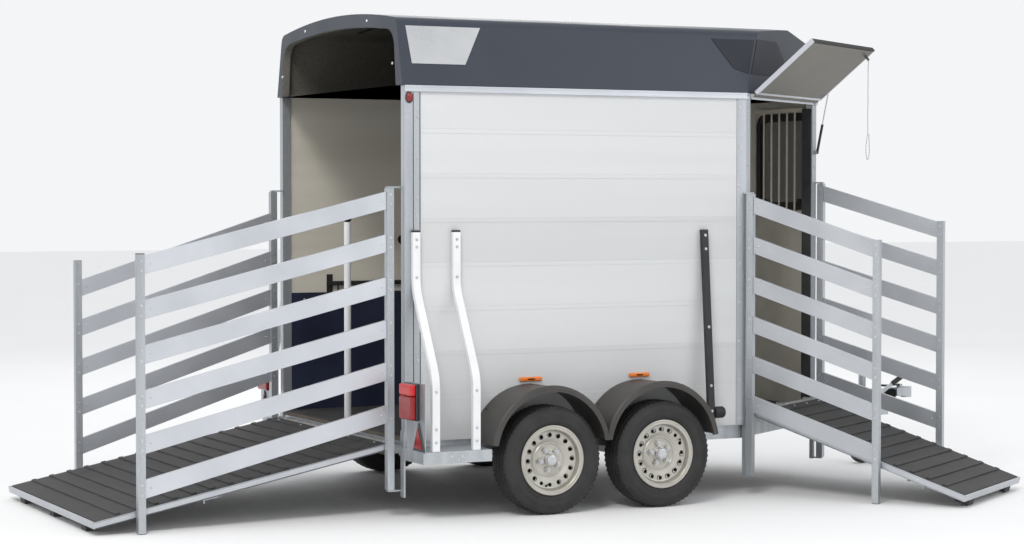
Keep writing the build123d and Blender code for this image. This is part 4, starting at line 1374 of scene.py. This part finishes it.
@dataclass
class Ramp(Assembly):
    """One loading ramp: its frame, edge profiles, rivets and mat."""

    name: str = "rear_ramp"
    hinge: Point = (0, 0, 0)
    reach: Point = (-1, 0, 0)
    tilt: float = 11.3
    length: float = 1.7
    half: float = 0.842

    @property
    def place(self) -> Matrix:
        """The ramp's own frame: X down the slope, Z off its walking face."""
        reach, tilt = Vector(self.reach), math.radians(self.tilt)
        slope = reach * math.cos(tilt) - Vector((0, 0, math.sin(tilt)))
        level = Vector((-reach.y, reach.x, 0))
        return seat(Vector(self.hinge), slope, slope.cross(level))

    def make(self) -> None:
        """Builds the ramp's pieces."""
        shop, place, half, length = self.shop, self.place, self.half, self.length
        self.soften(f"{self.name}_frame", "ramp_panel", self.name, "ramp_panel", 0.0015)
        self.soften(f"{self.name}_mat", "ribbed_rubber", self.name, "rubber_mat", 0.002)
        edges = []
        for side in (-1, 1):
            ys = sorted((side * (half + 0.0022), side * (half - 0.014)))
            edges.append(shop.slab("edge", (0.026, ys[0], -0.0235), (length + 0.001, ys[1], -0.017), 0.001))
            edges.append(shop.slab("edge", (0.026, ys[0], 0.0078), (length + 0.001, ys[1], 0.0115), 0.001))
            thin = sorted((side * half, side * (half + 0.0022)))
            edges.append(shop.slab("edge", (0.026, thin[0], -0.0235), (length + 0.001, thin[1], 0.0115), 0.0008))
        edges.append(shop.slab("edge", (length - 0.010, -half, -0.0235), (length + 0.0022, half, 0.0115), 0.001))
        rails = shop.settle(shop.joined(f"{self.name}_edges", edges), place)
        shop.dress(rails, "mill_aluminium", self.name, "dull_aluminium")
        out = place.to_3x3().col[1]
        down = place.to_3x3().col[0]
        up = place.to_3x3().col[2]
        seats = []
        for side in (-1, 1):
            for i in range(7):
                x = 0.12 + i * (length - 0.22) / 6
                seats.append(seat(place @ Vector((x, side * (half + 0.0022), -0.007)), down, out * side))
        self.buttons(f"{self.name}_rivets", seats, 0.005, "zinc_bolt", "galvanised", self.name)
        plates = []
        for i in range(5):
            y = -half + 0.12 + i * (2 * half - 0.24) / 4
            plates.append(seat(place @ Vector((0.055, y, 0.0148)), down, up))
        self.buttons(f"{self.name}_screws", plates, 0.007, "zinc_bolt", "galvanised", self.name)


@dataclass
class Gate(Assembly):
    """One drive gate: its stiles and rails, with bolts at each joint and caps on the stiles."""

    name: str = "rear_gate_right"
    pin: Point = (0, 0, 0)
    way: Point = (-1, 0, 0)
    length: float = 1.395
    head: float = 1.77
    drop: float = 0.34
    rails: int = 6
    pitch: float = 0.231
    finish: str = "bright_aluminium"
    stile_tops: tuple[float, float] = (1.782, 1.442)

    def make(self) -> None:
        """Builds the gate's pieces."""
        shop, ground = self.shop, self.at.ground
        slot = "bright_aluminium" if self.finish == "bright_aluminium" else "dull_aluminium"
        self.soften(f"{self.name}_stiles", "galvanised_zinc", self.name, "galvanised", 0.0012)
        self.soften(f"{self.name}_rails", self.finish, self.name, slot, 0.0012)
        way = Vector(self.way)
        across = way.cross(Vector((0, 0, 1)))
        seats, rivets = [], []
        for i in range(self.rails):
            for x in (0.0, self.length):
                middle = ground + self.head - self.pitch * i - self.drop * x / self.length - 0.048
                for lift in (-0.026, 0.026):
                    for face in (-1, 1):
                        spot = Vector(self.pin) + way * x + across * (face * 0.020) + Vector((0, 0, middle + lift))
                        seats.append(seat(spot, way, across * face))
            for x in (0.05, self.length - 0.05):
                middle = ground + self.head - self.pitch * i - self.drop * x / self.length - 0.048
                for face in (-1, 1):
                    spot = Vector(self.pin) + way * x + across * (face * 0.011) + Vector((0, 0, middle))
                    rivets.append(seat(spot, way, across * face))
        self.bolts(f"{self.name}_bolts", seats, self.name, radius=0.0058)
        self.buttons(f"{self.name}_rivets", rivets, 0.0055, "zinc_bolt", slot, self.name)
        caps, upright = [], Vector((0, 0, 1))
        stile = Vector(self.pin) + way * self.length
        for half, top, bevel, height in ((0.0195, 0.004, 0.002, self.stile_tops[1]), (0.0185, 0.001, 0.001, 0.0028)):
            cap = shop.slab("cap", (-half, -half, -0.002), (half, half, top), bevel)
            caps.append(shop.settle(cap, seat(stile + upright * (ground + height), way, upright)))
        self.fit(f"{self.name}_caps", caps, "black_rubber", "window_rubber", self.name)


@dataclass
class Wheels(Assembly):
    """The four road wheels: treaded tyres, stepped rims, nuts, hub caps and valves."""

    blocks: int = 62
    vents: int = 16
    nuts: int = 5

    def tyre(self) -> bpy.types.Object:
        """Models a tyre about the local Z axis, its outer side towards +Z.

        Returns:
            The tyre.
        """
        side = [
            (0.1905, 0.070), (0.196, 0.0735), (0.200, 0.0770), (0.208, 0.0850), (0.215, 0.0880), (0.217, 0.0895),
            (0.219, 0.0885), (0.236, 0.0930), (0.2455, 0.0930), (0.247, 0.0942), (0.2495, 0.0925), (0.264, 0.0905),
            (0.2735, 0.0868), (0.275, 0.0875), (0.278, 0.0850), (0.288, 0.0785), (0.2935, 0.0690),
        ]
        crown = [
            (0.2945, 0.052), (0.2895, 0.0505), (0.2895, 0.0445), (0.2965, 0.043), (0.2975, 0.0215), (0.2905, 0.020),
            (0.2905, 0.0135), (0.298, 0.012),
        ]
        outer = side + crown
        mirrored = [(r, -z) for r, z in reversed(outer)]
        inner = [(0.180, -0.066), (0.180, -0.055), (0.214, -0.074), (0.236, -0.082), (0.278, -0.068), (0.284, 0.0)]
        inner += [(0.278, 0.068), (0.236, 0.082), (0.214, 0.074), (0.180, 0.055), (0.180, 0.066)]
        body = self.shop.turned("tyre", outer + mirrored + inner, Matrix.Identity(4), 96)
        block = self.shop.joined("block", [
            self.shop.slab("b", (0.2885, -0.0058, 0.0515), (0.2955, 0.0058, 0.0745), 0.0015, 1),
            self.shop.slab("b", (0.2885, -0.0058, -0.0745), (0.2955, 0.0058, -0.0515), 0.0015, 1),
            self.shop.slab("b", (0.2895, -0.0050, 0.0225), (0.2985, 0.0062, 0.0420), 0.0012, 1),
            self.shop.slab("b", (0.2895, -0.0062, -0.0420), (0.2985, 0.0050, -0.0225), 0.0012, 1),
        ])
        turns = [Matrix.Rotation(math.tau * i / self.blocks, 4, "Z") for i in range(self.blocks)]
        return self.shop.joined("tyre", [body, self.shop.copies("tread", block, turns)])

    def trim(self) -> bpy.types.Object:
        """Models the rim's lips, steps and hub rings about the local Z axis.

        Returns:
            The rings.
        """
        rings = [
            [(0.1895, 0.0715), (0.1925, 0.0745), (0.1915, 0.0785), (0.187, 0.0800), (0.183, 0.0775), (0.183, 0.0730)],
            [(0.1815, 0.0705), (0.1815, 0.0745), (0.172, 0.0755), (0.1685, 0.0725), (0.1685, 0.0600), (0.1745, 0.0600)],
            [(0.1605, 0.0440), (0.1605, 0.0475), (0.1555, 0.0492), (0.1505, 0.0475), (0.1505, 0.0440)],
            [(0.0975, 0.0295), (0.0935, 0.0330), (0.0880, 0.0330), (0.0845, 0.0295)],
            [(0.0455, 0.0310), (0.0440, 0.0362), (0.0385, 0.0395), (0.0345, 0.0395), (0.0345, 0.0310)],
        ]
        made = [self.shop.turned("ring", ring, Matrix.Identity(4), 72) for ring in rings]
        return self.shop.joined("trim", made)

    def fittings(self) -> tuple[bpy.types.Object, bpy.types.Object]:
        """Models the nuts and hub cap, and the black valve, vent rims and the black ring behind the vents, which is
        painted shade standing for the shaded brake drum seen through them.

        Returns:
            The bright pieces and the dark ones, about the local Z axis.
        """
        shop = self.shop
        nuts = []
        for i in range(self.nuts):
            turn = Matrix.Rotation(math.tau * i / self.nuts, 4, "Z") @ Matrix.Translation((0.056, 0, 0.040))
            nut = shop.hex_bolt(0.0112, 0.011)
            nuts.append(shop.settle(nut, turn))
            stud = shop.drum("stud", (0, 0, 0.008), (0, 0, 0.016), 0.0052, 16, 0.0012)
            nuts.append(shop.settle(stud, turn))
        cap = [
            (0.0, 0.0715), (0.020, 0.0710), (0.0275, 0.0685), (0.0305, 0.0640), (0.0315, 0.0600), (0.0350, 0.0590),
            (0.0350, 0.0400), (0.0, 0.0400),
        ]
        nuts.append(shop.turned("cap", cap, Matrix.Identity(4), 40, closed=False))
        bright = shop.joined("wheel_nuts", nuts)
        stem = Vector((0.150, 0, 0.040))
        lean = seat(stem, Vector((0, 1, 0)), Vector((-0.55, 0, 0.85)))
        valve = [
            (0.0, 0.034), (0.0032, 0.0335), (0.0036, 0.024), (0.0046, 0.022), (0.0062, 0.003), (0.0085, 0.0), (0, 0)
        ]
        dark = [shop.turned("valve", valve, lean, 20, closed=False)]
        # Painted shade: a black ring behind the vents darkens the holes, which are open through in the CAD rim.
        shade = [(0.108, 0.010), (0.1668, 0.010), (0.1668, 0.014), (0.108, 0.014)]
        dark.append(shop.turned("shade", shade, Matrix.Identity(4), 48))
        vent = [(0.0112, -0.0028), (0.0112, 0.0012), (0.0128, 0.0012), (0.0138, -0.0004), (0.0138, -0.0028)]
        for i in range(1, self.vents - 1):
            turn = Matrix.Rotation(math.tau * (i + 0.5) / self.vents, 4, "Z") @ Matrix.Translation((0.137, 0, 0.0465))
            dark.append(shop.turned("vent", vent, turn, 24))
        return bright, shop.joined("wheel_dark", dark)

    def make(self) -> None:
        """Builds the wheels' pieces and sets a copy on each hub."""
        at, shop = self.at, self.shop
        tyre, trim = self.tyre(), self.trim()
        bright, dark = self.fittings()
        for end, x in zip(("rear", "front"), at.axles):
            for side, sign in (("right", -1), ("left", 1)):
                label = f"{end}_{side}"
                body = f"wheel_{label}"
                spin = math.radians(-100 if end == "rear" else 30)
                centre = Vector((x, sign * at.track / 2, at.wheel_z))
                place = seat(centre, Vector((math.cos(spin), 0, math.sin(spin))), Vector((0, sign, 0)))
                for master, name, finish, slot in (
                    (tyre, "tyre_tread", "tyre_rubber", "tyre_rubber"),
                    (trim, "rim_rings", "wheel_paint", "wheel_steel"),
                    (bright, "wheel_nuts", "zinc_bolt", "wheel_steel"),
                    (dark, "wheel_valve_and_painted_shade", "black_rubber", "tyre_rubber"),
                ):
                    piece = shop.settle(shop.spawn(f"{name}_{label}", master.data.copy()), place)
                    shop.dress(piece, finish, body, slot)
                    if name == "tyre_tread":
                        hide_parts(f"tyre_{label}")
        for master in (tyre, trim, bright, dark):
            bpy.data.objects.remove(master)


@dataclass
class Mudguards(Assembly):
    """The plastic mudguards' rolled outer edges and rivets."""

    radius: float = 0.3561
    shift: float = -0.020
    lift: float = 0.0459
    outer: float = 1.218
    roll: float = 0.017

    def arch(self) -> list[tuple[float, float]]:
        """Works out the double arch's outline.

        Returns:
            Points (x, z) from the rear foot to the front foot.
        """
        at = self.at
        rear, front = (x + self.shift for x in at.axles)
        foot = math.asin((0.100 - self.lift) / self.radius)
        valley = math.acos((front - rear) / 2 / self.radius)
        points = []
        for centre, first, last in ((rear, math.pi - foot, valley), (front, math.pi - valley, foot)):
            for i in range(25):
                turn = first + (last - first) * i / 24
                reach = self.radius - self.roll * 0.35
                points.append((centre + reach * math.cos(turn), at.wheel_z + self.lift + reach * math.sin(turn)))
        return points

    def make(self) -> None:
        """Builds the mudguards' pieces."""
        shop = self.shop
        rivets = []
        for side, label in ((-1, "right"), (1, "left")):
            data = bpy.data.curves.new("roll", "CURVE")
            data.dimensions, data.bevel_depth, data.bevel_resolution, data.use_fill_caps = "3D", self.roll, 4, True
            line = data.splines.new("POLY")
            path = self.arch()
            line.points.add(len(path) - 1)
            for control, (x, z) in zip(line.points, path):
                control.co = (x, side * (self.outer - self.roll * 0.9), z, 1.0)
            shop.pick(shop.spawn(f"mudguard_roll_{label}", data))
            bpy.ops.object.convert(target="MESH")
            roll = bpy.context.active_object
            bpy.ops.object.shade_smooth_by_angle(angle=math.radians(40))
            shop.dress(roll, "guard_plastic", "trailer", "guard_plastic")
            for x in self.at.axles:
                for turn in (40, 90, 140):
                    reach = self.radius - 0.0002
                    way = Vector((math.cos(math.radians(turn)), 0, math.sin(math.radians(turn))))
                    spot = Vector((x + self.shift, side * 0.955, self.at.wheel_z + self.lift)) + way * reach
                    rivets.append(seat(spot, Vector((0, 1, 0)), way))
        self.buttons("mudguard_rivets", rivets, 0.007, "black_rubber", "guard_plastic")


@dataclass
class SideGear(Assembly):
    """The white guard bars, the black buffer bars and the wing brackets' bolts."""

    def make(self) -> None:
        """Builds the side gear's pieces."""
        at, shop = self.at, self.shop
        self.soften("deflector_bars", "white_powder_coat", "trailer", "white_paint", 0.003)
        self.soften("front_buffer_bars", "black_powder_coat", "trailer", "black_paint", 0.003)
        caps, bolts, dark = [], [], []
        for side in (-1, 1):
            out = Vector((0, side, 0))
            for x in (at.rear_x + 0.060, at.rear_x + 0.300):
                y, top = side * 0.9385, at.ground + 1.545
                low, high = (x - 0.022, y - 0.0135, top - 0.002), (x + 0.022, y + 0.0135, top + 0.010)
                caps.append(shop.slab("cap", low, high, 0.003))
                for z in (1.505, 1.465, 1.30):
                    bolts.append(seat(Vector((x, side * 0.9525, at.ground + z)), Vector((1, 0, 0)), out))
                for z in (0.43, 0.50, 0.70):
                    bolts.append(seat(Vector((x, side * 1.2001, at.ground + z)), Vector((1, 0, 0)), out))
            x = at.axle_mid + 0.760
            y0, z0, y1, z1 = 0.936, 1.548, 1.024, 0.430
            lean = Vector((0, side * (y1 - y0), z1 - z0)).normalized()
            normal = Vector((0, side, 0)) - lean * lean.dot(Vector((0, side, 0)))
            for share in (0.03, 0.10, 0.5, 0.80, 0.93):
                centre = Vector((x, side * (y0 + (y1 - y0) * share), at.ground + z0 + (z1 - z0) * share))
                bolts.append(seat(centre + normal.normalized() * 0.013, Vector((1, 0, 0)), normal))
            rib = []
            for i in range(9):
                rib += [(0.0335, 0.0035 + i * 0.0065), (0.0310, 0.0065 + i * 0.0065)]
            profile = [(0.0, 0.0)] + [(0.033, 0.0)] + rib + [(0.029, 0.064), (0.020, 0.068), (0.0, 0.069)]
            place = seat(Vector((x + 0.018, side * 1.018, at.ground + 0.5)), Vector((0, 1, 0)), Vector((1, 0, 0)))
            dark.append(shop.turned("buffer", profile, place, 40, closed=False))
            foot = side * 1.2001
            for x_bolt in (at.rear_x + 0.15, at.rear_x + 0.21):
                bolts.append(seat(Vector((x_bolt, foot, at.ground + 0.350)), Vector((1, 0, 0)), out))
        self.fit("bar_caps", caps, "black_rubber", "white_paint")
        self.fit("rubber_buffers", dark, "black_rubber", "black_paint")
        self.bolts("bar_bolts", bolts, "trailer", radius=0.0062)


@dataclass
class Lamps(Assembly):
    """Tail lamps, warning triangles, corner lamps and side markers."""

    inner: float = 0.992
    outer: float = 1.152
    foot: float = 0.546
    head: float = 0.741
    split: float = 0.675
    marker_foot: float = 0.7135
    marker_head: float = 0.7375

    def lamp(self, ys: list[float], low: float, high: float) -> bpy.types.Object:
        """Models one window of a tail lamp.

        Args:
            ys: The lamp's sides.
            low: The window's foot in the frame.
            high: The window's head in the frame.

        Returns:
            The window.
        """
        back = self.at.rear_x - 0.0163
        return self.shop.slab("lens", (back - 0.052, ys[0] + 0.002, low), (back - 0.018, ys[1] - 0.002, high), 0.010, 4)

    def make(self) -> None:
        """Builds the lamps' pieces."""
        at, shop = self.at, self.shop
        back = at.rear_x - 0.0163
        red, dark, pale, orange, glow = [], [], [], [], []
        for side in (-1, 1):
            ys = sorted((side * self.inner, side * self.outer))
            low, high, split = at.ground + self.foot, at.ground + self.head, at.ground + self.split
            shell = (back - 0.020, ys[0] - 0.002, low - 0.002), (back - 0.0005, ys[1] + 0.002, high + 0.002)
            dark.append(shop.slab("base", *shell, 0.006, 3))
            red.append(self.lamp(ys, low + 0.002, split - 0.001))
            pale.append(self.lamp(ys, split + 0.001, high - 0.002))
            for i in range(5):
                z = low + 0.020 + i * 0.024
                rib = (back - 0.0530, ys[0] + 0.014, z), (back - 0.0505, ys[1] - 0.014, z + 0.004)
                glow.append(shop.slab("rib", *rib, 0.001))
            middle = side * 1.149
            place = seat(Vector((back - 0.0005, middle, at.ground)), Vector((0, -1, 0)), Vector((-1, 0, 0)))
            up = 1.0 if place.to_3x3().col[1].z > 0 else -1.0
            ring = [(-0.072, 0.383 * up), (0.072, 0.383 * up), (0.0, 0.540 * up)]
            core = [(-0.050, 0.396 * up), (0.050, 0.396 * up), (0.0, 0.508 * up)]
            dark.append(shop.prism("edge", ring, 0.007, place, 0.003))
            red.append(shop.prism("core", core, 0.0112, place, 0.0025))
            face = side * (at.half_width + at.post_proud + 0.0003)
            spot = Matrix.Translation((at.rear_x + 0.028, face, at.ground + 2.272)) @ Matrix.Diagonal((1, 1, 1.45, 1))
            local = seat(Vector((0, 0, 0)), Vector((1, 0, 0)), Vector((0, side, 0)))
            base = [(0.0, 0.0), (0.0215, 0.0), (0.0225, 0.003), (0.0215, 0.0065), (0.017, 0.0075), (0.0, 0.0075)]
            dark.append(shop.settle(shop.turned("ring", base, local, 40, closed=False), spot))
            dome = [(0.0, 0.0152), (0.006, 0.0148), (0.0115, 0.0132), (0.0155, 0.0104), (0.0172, 0.0068), (0.0, 0.0068)]
            red.append(shop.settle(shop.turned("dome", dome, local, 40, closed=False), spot))
            for x0, x1 in ((-0.427, -0.287), (0.272, 0.403)):
                ys = sorted((side * 0.9202, side * 0.936))
                a, b = at.axle_mid + x0, at.axle_mid + x1
                low, high = at.ground + self.marker_foot, at.ground + self.marker_head
                orange.append(shop.slab("marker", (a, ys[0], low), (b, ys[1], high), 0.0075, 4))
                m = (a + b) / 2
                near, far = (ys[0], ys[1] - 0.002) if side < 0 else (ys[0] + 0.002, ys[1] + 0.0008)
                glow.append(shop.slab("core", (m - 0.024, near, low + 0.005), (m + 0.024, far, high - 0.005), 0.003, 2))
        self.fit("lamp_bases", dark, "black_gloss", "black_paint")
        lenses = self.fit("red_lenses", red, "red_lamp_lens", "red_lens")
        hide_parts("tail_lamps", "corner_lamps")
        self.fit("bright_lenses", pale, "bright_red_lens", "red_lens")
        markers = self.fit("orange_markers", orange, "orange_lamp_lens", "orange_lens")
        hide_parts("side_markers")
        self.fit("lamp_ribs", glow, "red_lamp_lens", "red_lens")


@dataclass
class Window(Assembly):
    """The front window's bars and sliding latch."""

    def make(self) -> None:
        """Builds the window's pieces."""
        self.soften("window_guard", "cream_bars", "trailer", "cream_paint", 0.001)
        at, shop = self.at, self.shop
        x = at.nose_x - 0.030
        made = []
        for y in (-0.20, 0.20):
            low, high = (x - 0.006, y - 0.018, at.ground + 1.700), (x + 0.006, y + 0.018, at.ground + 1.724)
            made.append(shop.slab("catch", low, high, 0.004, 3))
        self.fit("window_catches", made, "black_rubber", "window_rubber")


@dataclass
class Coupling(Assembly):
    """Drawbar fittings: bellows, brake rod, grips, jockey wheel and crank."""

    def make(self) -> None:
        """Builds the coupling's pieces."""
        at, shop = self.at, self.shop
        for node in ("drawbar", "coupling_head"):
            self.soften(node, "galvanised_zinc", "trailer", "galvanised", 0.0015)
        self.soften("overrun_housing", "black_powder_coat", "trailer", "black_paint", 0.003)
        folds = [(0.0272, 0.0)]
        for i in range(7):
            folds += [(0.041, 0.006 + i * 0.0125), (0.0290, 0.0122 + i * 0.0125)]
        place = seat(Vector((-0.1895, 0, 0)), Vector((0, 1, 0)), Vector((1, 0, 0)))
        bellows = shop.turned("drawbar_bellows", folds + [(0.0272, 0.094)], place, 48)
        shop.dress(bellows, "black_rubber", "trailer", "black_paint")
        rise = math.radians(31)
        way = Vector((math.cos(rise), 0, math.sin(rise)))
        grip = [(0.0, -0.002), (0.0152, -0.002), (0.0165, 0.004)]
        for i in range(8):
            grip += [(0.0168, 0.012 + i * 0.013), (0.0156, 0.0185 + i * 0.013)]
        grip += [(0.0165, 0.116), (0.0120, 0.1225), (0.0, 0.1235)]
        pivot = Vector((-0.300, -0.059, -0.015))
        spot = seat(pivot + way * 0.175, Vector((0, 1, 0)), way)
        handle = shop.turned("handbrake_grip", grip, spot, 32, closed=False)
        shop.dress(handle, "black_rubber", "handbrake_lever", "black_paint")
        seats = []
        for x in (-0.42, -0.33, -0.22):
            for side in (-1, 1):
                seats.append(seat(Vector((x, side * 0.0453, 0.012)), Vector((1, 0, 0)), Vector((0, side, 0))))
        for x in (-0.31, -0.22):
            for y in (-0.065, 0.065):
                seats.append(seat(Vector((x, y, -0.0402)), Vector((1, 0, 0)), Vector((0, 0, 1))))
        self.bolts("drawbar_bolts", seats, "trailer", radius=0.0085)
        rod = shop.drum("brake_rod", (-0.90, -0.0, -0.128), (-0.37, -0.0, -0.128), 0.006, 16)
        fork = shop.slab("brake_rod", (-0.395, -0.014, -0.140), (-0.350, 0.014, -0.118), 0.003)
        self.fit("brake_rod", [rod, fork], "zinc_bolt", "galvanised")
        jockey = Vector((-0.262, 0.118, at.ground + 0.091))
        place = seat(jockey, Vector((1, 0, 0)), Vector((0, 1, 0)))
        disc = [(0.022, -0.0262), (0.064, -0.0262), (0.066, -0.0240), (0.066, 0.0240), (0.064, 0.0262), (0.022, 0.0262)]
        hub = shop.turned("jockey_rim", disc, place, 48)
        shop.dress(hub, "wheel_paint", "jockey_wheel", "wheel_steel")
        clamp = shop.turned(
            "jockey_clamp", [(0.0245, -0.02), (0.030, -0.018), (0.030, 0.018), (0.0245, 0.02)],
            Matrix.Translation((-0.262, 0.118, -0.080)), 32,
        )
        shop.dress(clamp, "black_powder_coat", "trailer", "black_paint")
        knob = [(0.0, 0.062), (0.009, 0.061), (0.0125, 0.054), (0.0115, 0.012), (0.0125, 0.004), (0.0105, 0.0), (0, 0)]
        place = Matrix.Translation((-0.182, 0.118, at.ground + 0.652))
        shop.dress(shop.turned("crank_grip", knob, place, 24, closed=False), "black_rubber", "trailer", "black_paint")


@dataclass
class Cabin(Assembly):
    """What shows inside: the pole's knob, a wall bar with hooks and kick-board screws."""

    def make(self) -> None:
        """Builds the cabin's pieces."""
        at, shop = self.at, self.shop
        self.soften("kick_boards", "navy_board", "trailer", "navy_board", 0.003)
        x = at.rear_x + 0.055
        knob = [
            (0.0, 0.0505), (0.010, 0.0490), (0.019, 0.0420), (0.0252, 0.0300), (0.0252, 0.0190), (0.0185, 0.0060),
            (0.0135, 0.0012), (0.0, 0.0008),
        ]
        place = Matrix.Translation((x, 0, at.ground + 1.590))
        shop.dress(shop.turned("pole_knob", knob, place, 32, closed=False), "black_gloss", "trailer", "black_paint")
        wall = at.half_width - 0.0255
        bar = [shop.slab("bar", (-3.70, wall - 0.030, 0.742), (-3.02, wall - 0.004, 0.768), 0.004)]
        for i in range(6):
            hook_x, mid = -3.64 + i * 0.115, wall - 0.017
            for start, end in (((0.0, 0.745), (0.0, 0.695)), ((0.0, 0.699), (0.030, 0.690))):
                low, high = (hook_x + start[0], mid, start[1]), (hook_x + end[0], mid, end[1])
                bar.append(shop.drum("hook", low, high, 0.005, 12, 0.001))
        for bracket_x in (-3.69, -3.03):
            low, high = (bracket_x - 0.02, wall - 0.006, 0.70), (bracket_x + 0.02, wall - 0.0003, 0.81)
            bar.append(shop.slab("bracket", low, high, 0.002))
        self.fit("tack_bar", bar, "black_powder_coat", "black_paint")
        stub = [
            (0.0, 0.060), (0.014, 0.058), (0.022, 0.048), (0.022, 0.036), (0.012, 0.026), (0.010, 0.004),
            (0.03, 0.0), (0, 0),
        ]
        place = seat(Vector((-3.20, wall, 1.02)), Vector((1, 0, 0)), Vector((0, -1, 0)))
        shop.dress(shop.turned("wall_knob", stub, place, 32, closed=False), "black_gloss", "trailer", "black_paint")
        seats = []
        for side in (-1, 1):
            for i in range(8):
                for z in (0.06, 0.36, 0.66):
                    spot = Vector((-3.86 + i * 0.272, side * (wall - 0.0120), z))
                    seats.append(seat(spot, Vector((1, 0, 0)), Vector((0, -side, 0))))
        self.buttons("kick_board_screws", seats, 0.006, "zinc_bolt", "navy_board")


# ------------------------------------------------------------------ plain coats


COATS = {
    "galvanised_zinc": (
        "axle_beams jockey_tube jockey_stem jockey_fork handbrake_lever rear_ramp_latch_a rear_ramp_latch_b "
        "side_ramp_latch_a side_ramp_latch_b"
    ),
    "wall_planks": "side_wall_left side_wall_right",
    "nose_planks": "nose_walls",
    "ribbed_rubber": "floor_mat",
    "darkened_reflection_pane": "window_pane",
    "window_rubber": "window_seal",
    "bright_aluminium": "eave_trims",
    "guard_plastic": "fenders",
    "white_powder_coat": "partition_post",
    "black_powder_coat": "strut_tube coupling_handle",
    "polished_rod": "strut_rod",
    "wheel_paint": "rim_rear_left rim_rear_right rim_front_left rim_front_right",
    "black_rubber": "jockey_wheel",
    "deck_board": "floor_deck",
}


def assemblies(shop: Workshop, at: Layout) -> list[Assembly]:
    """Lists the sub-assemblies in the order they are built.

    Args:
        shop: The workshop.
        at: The trailer's places.

    Returns:
        The sub-assemblies.
    """
    rear_pin = (at.rear_x - 0.067, at.half_width - 0.048, 0.0)
    side_corner = Vector((at.shoulder_x, -at.half_width, 0.0))
    nose_corner = Vector((at.nose_x, -at.nose_half, 0.0))
    near_pin = side_corner + at.outward * 0.038 - at.along * 0.004
    far_pin = nose_corner + at.outward * 0.038 + at.along * 0.004
    rear_hinge = (at.rear_x - 0.036, 0.0, at.ground + 0.392)
    side_hinge = tuple(at.by_door(0.034, 0.0, at.ground + 0.486))
    outward = tuple(at.outward)
    side_ways = {"way": outward, "length": 0.775, "finish": "mill_aluminium"}
    return [
        Roof(shop, at),
        Shell(shop, at),
        Flap(shop, at),
        Ramp(shop, at, "rear_ramp", rear_hinge, (-1, 0, 0), 11.3, 1.700, 0.842),
        Ramp(shop, at, "side_ramp", side_hinge, outward, 18.3, 1.356, 0.500),
        Gate(shop, at, "rear_gate_right", (rear_pin[0], -rear_pin[1], 0.0)),
        Gate(
            shop, at, "rear_gate_left", rear_pin, length=1.215, head=1.644, drop=0.398, rails=5,
            stile_tops=(1.765, 1.246),
        ),
        Gate(
            shop, at, "side_gate_near", tuple(near_pin), head=1.742, drop=0.258, stile_tops=(1.752, 1.484), **side_ways
        ),
        Gate(shop, at, "side_gate_far", tuple(far_pin), head=1.808, drop=0.228, stile_tops=(1.818, 1.580), **side_ways),
        Wheels(shop, at),
        Mudguards(shop, at),
        SideGear(shop, at),
        Lamps(shop, at),
        Window(shop, at),
        Coupling(shop, at),
        Cabin(shop, at),
    ]


def main() -> None:
    """Builds the trailer's looks in order."""
    logging.basicConfig(level=logging.INFO, format="%(name)s: %(message)s")
    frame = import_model()
    at, book = Layout(), FinishBook()
    studio = Studio()
    studio.camera()
    shop = Workshop(frame["nodes"], book)
    PullCord().make(shop, at)
    for finish, nodes in COATS.items():
        for node in nodes.split():
            shop.coat(node, finish)
    for assembly in assemblies(shop, at):
        log.info("building %s", type(assembly).__name__)
        assembly.make()
    studio.make(at, book)


if __name__ == "__main__":
    main()
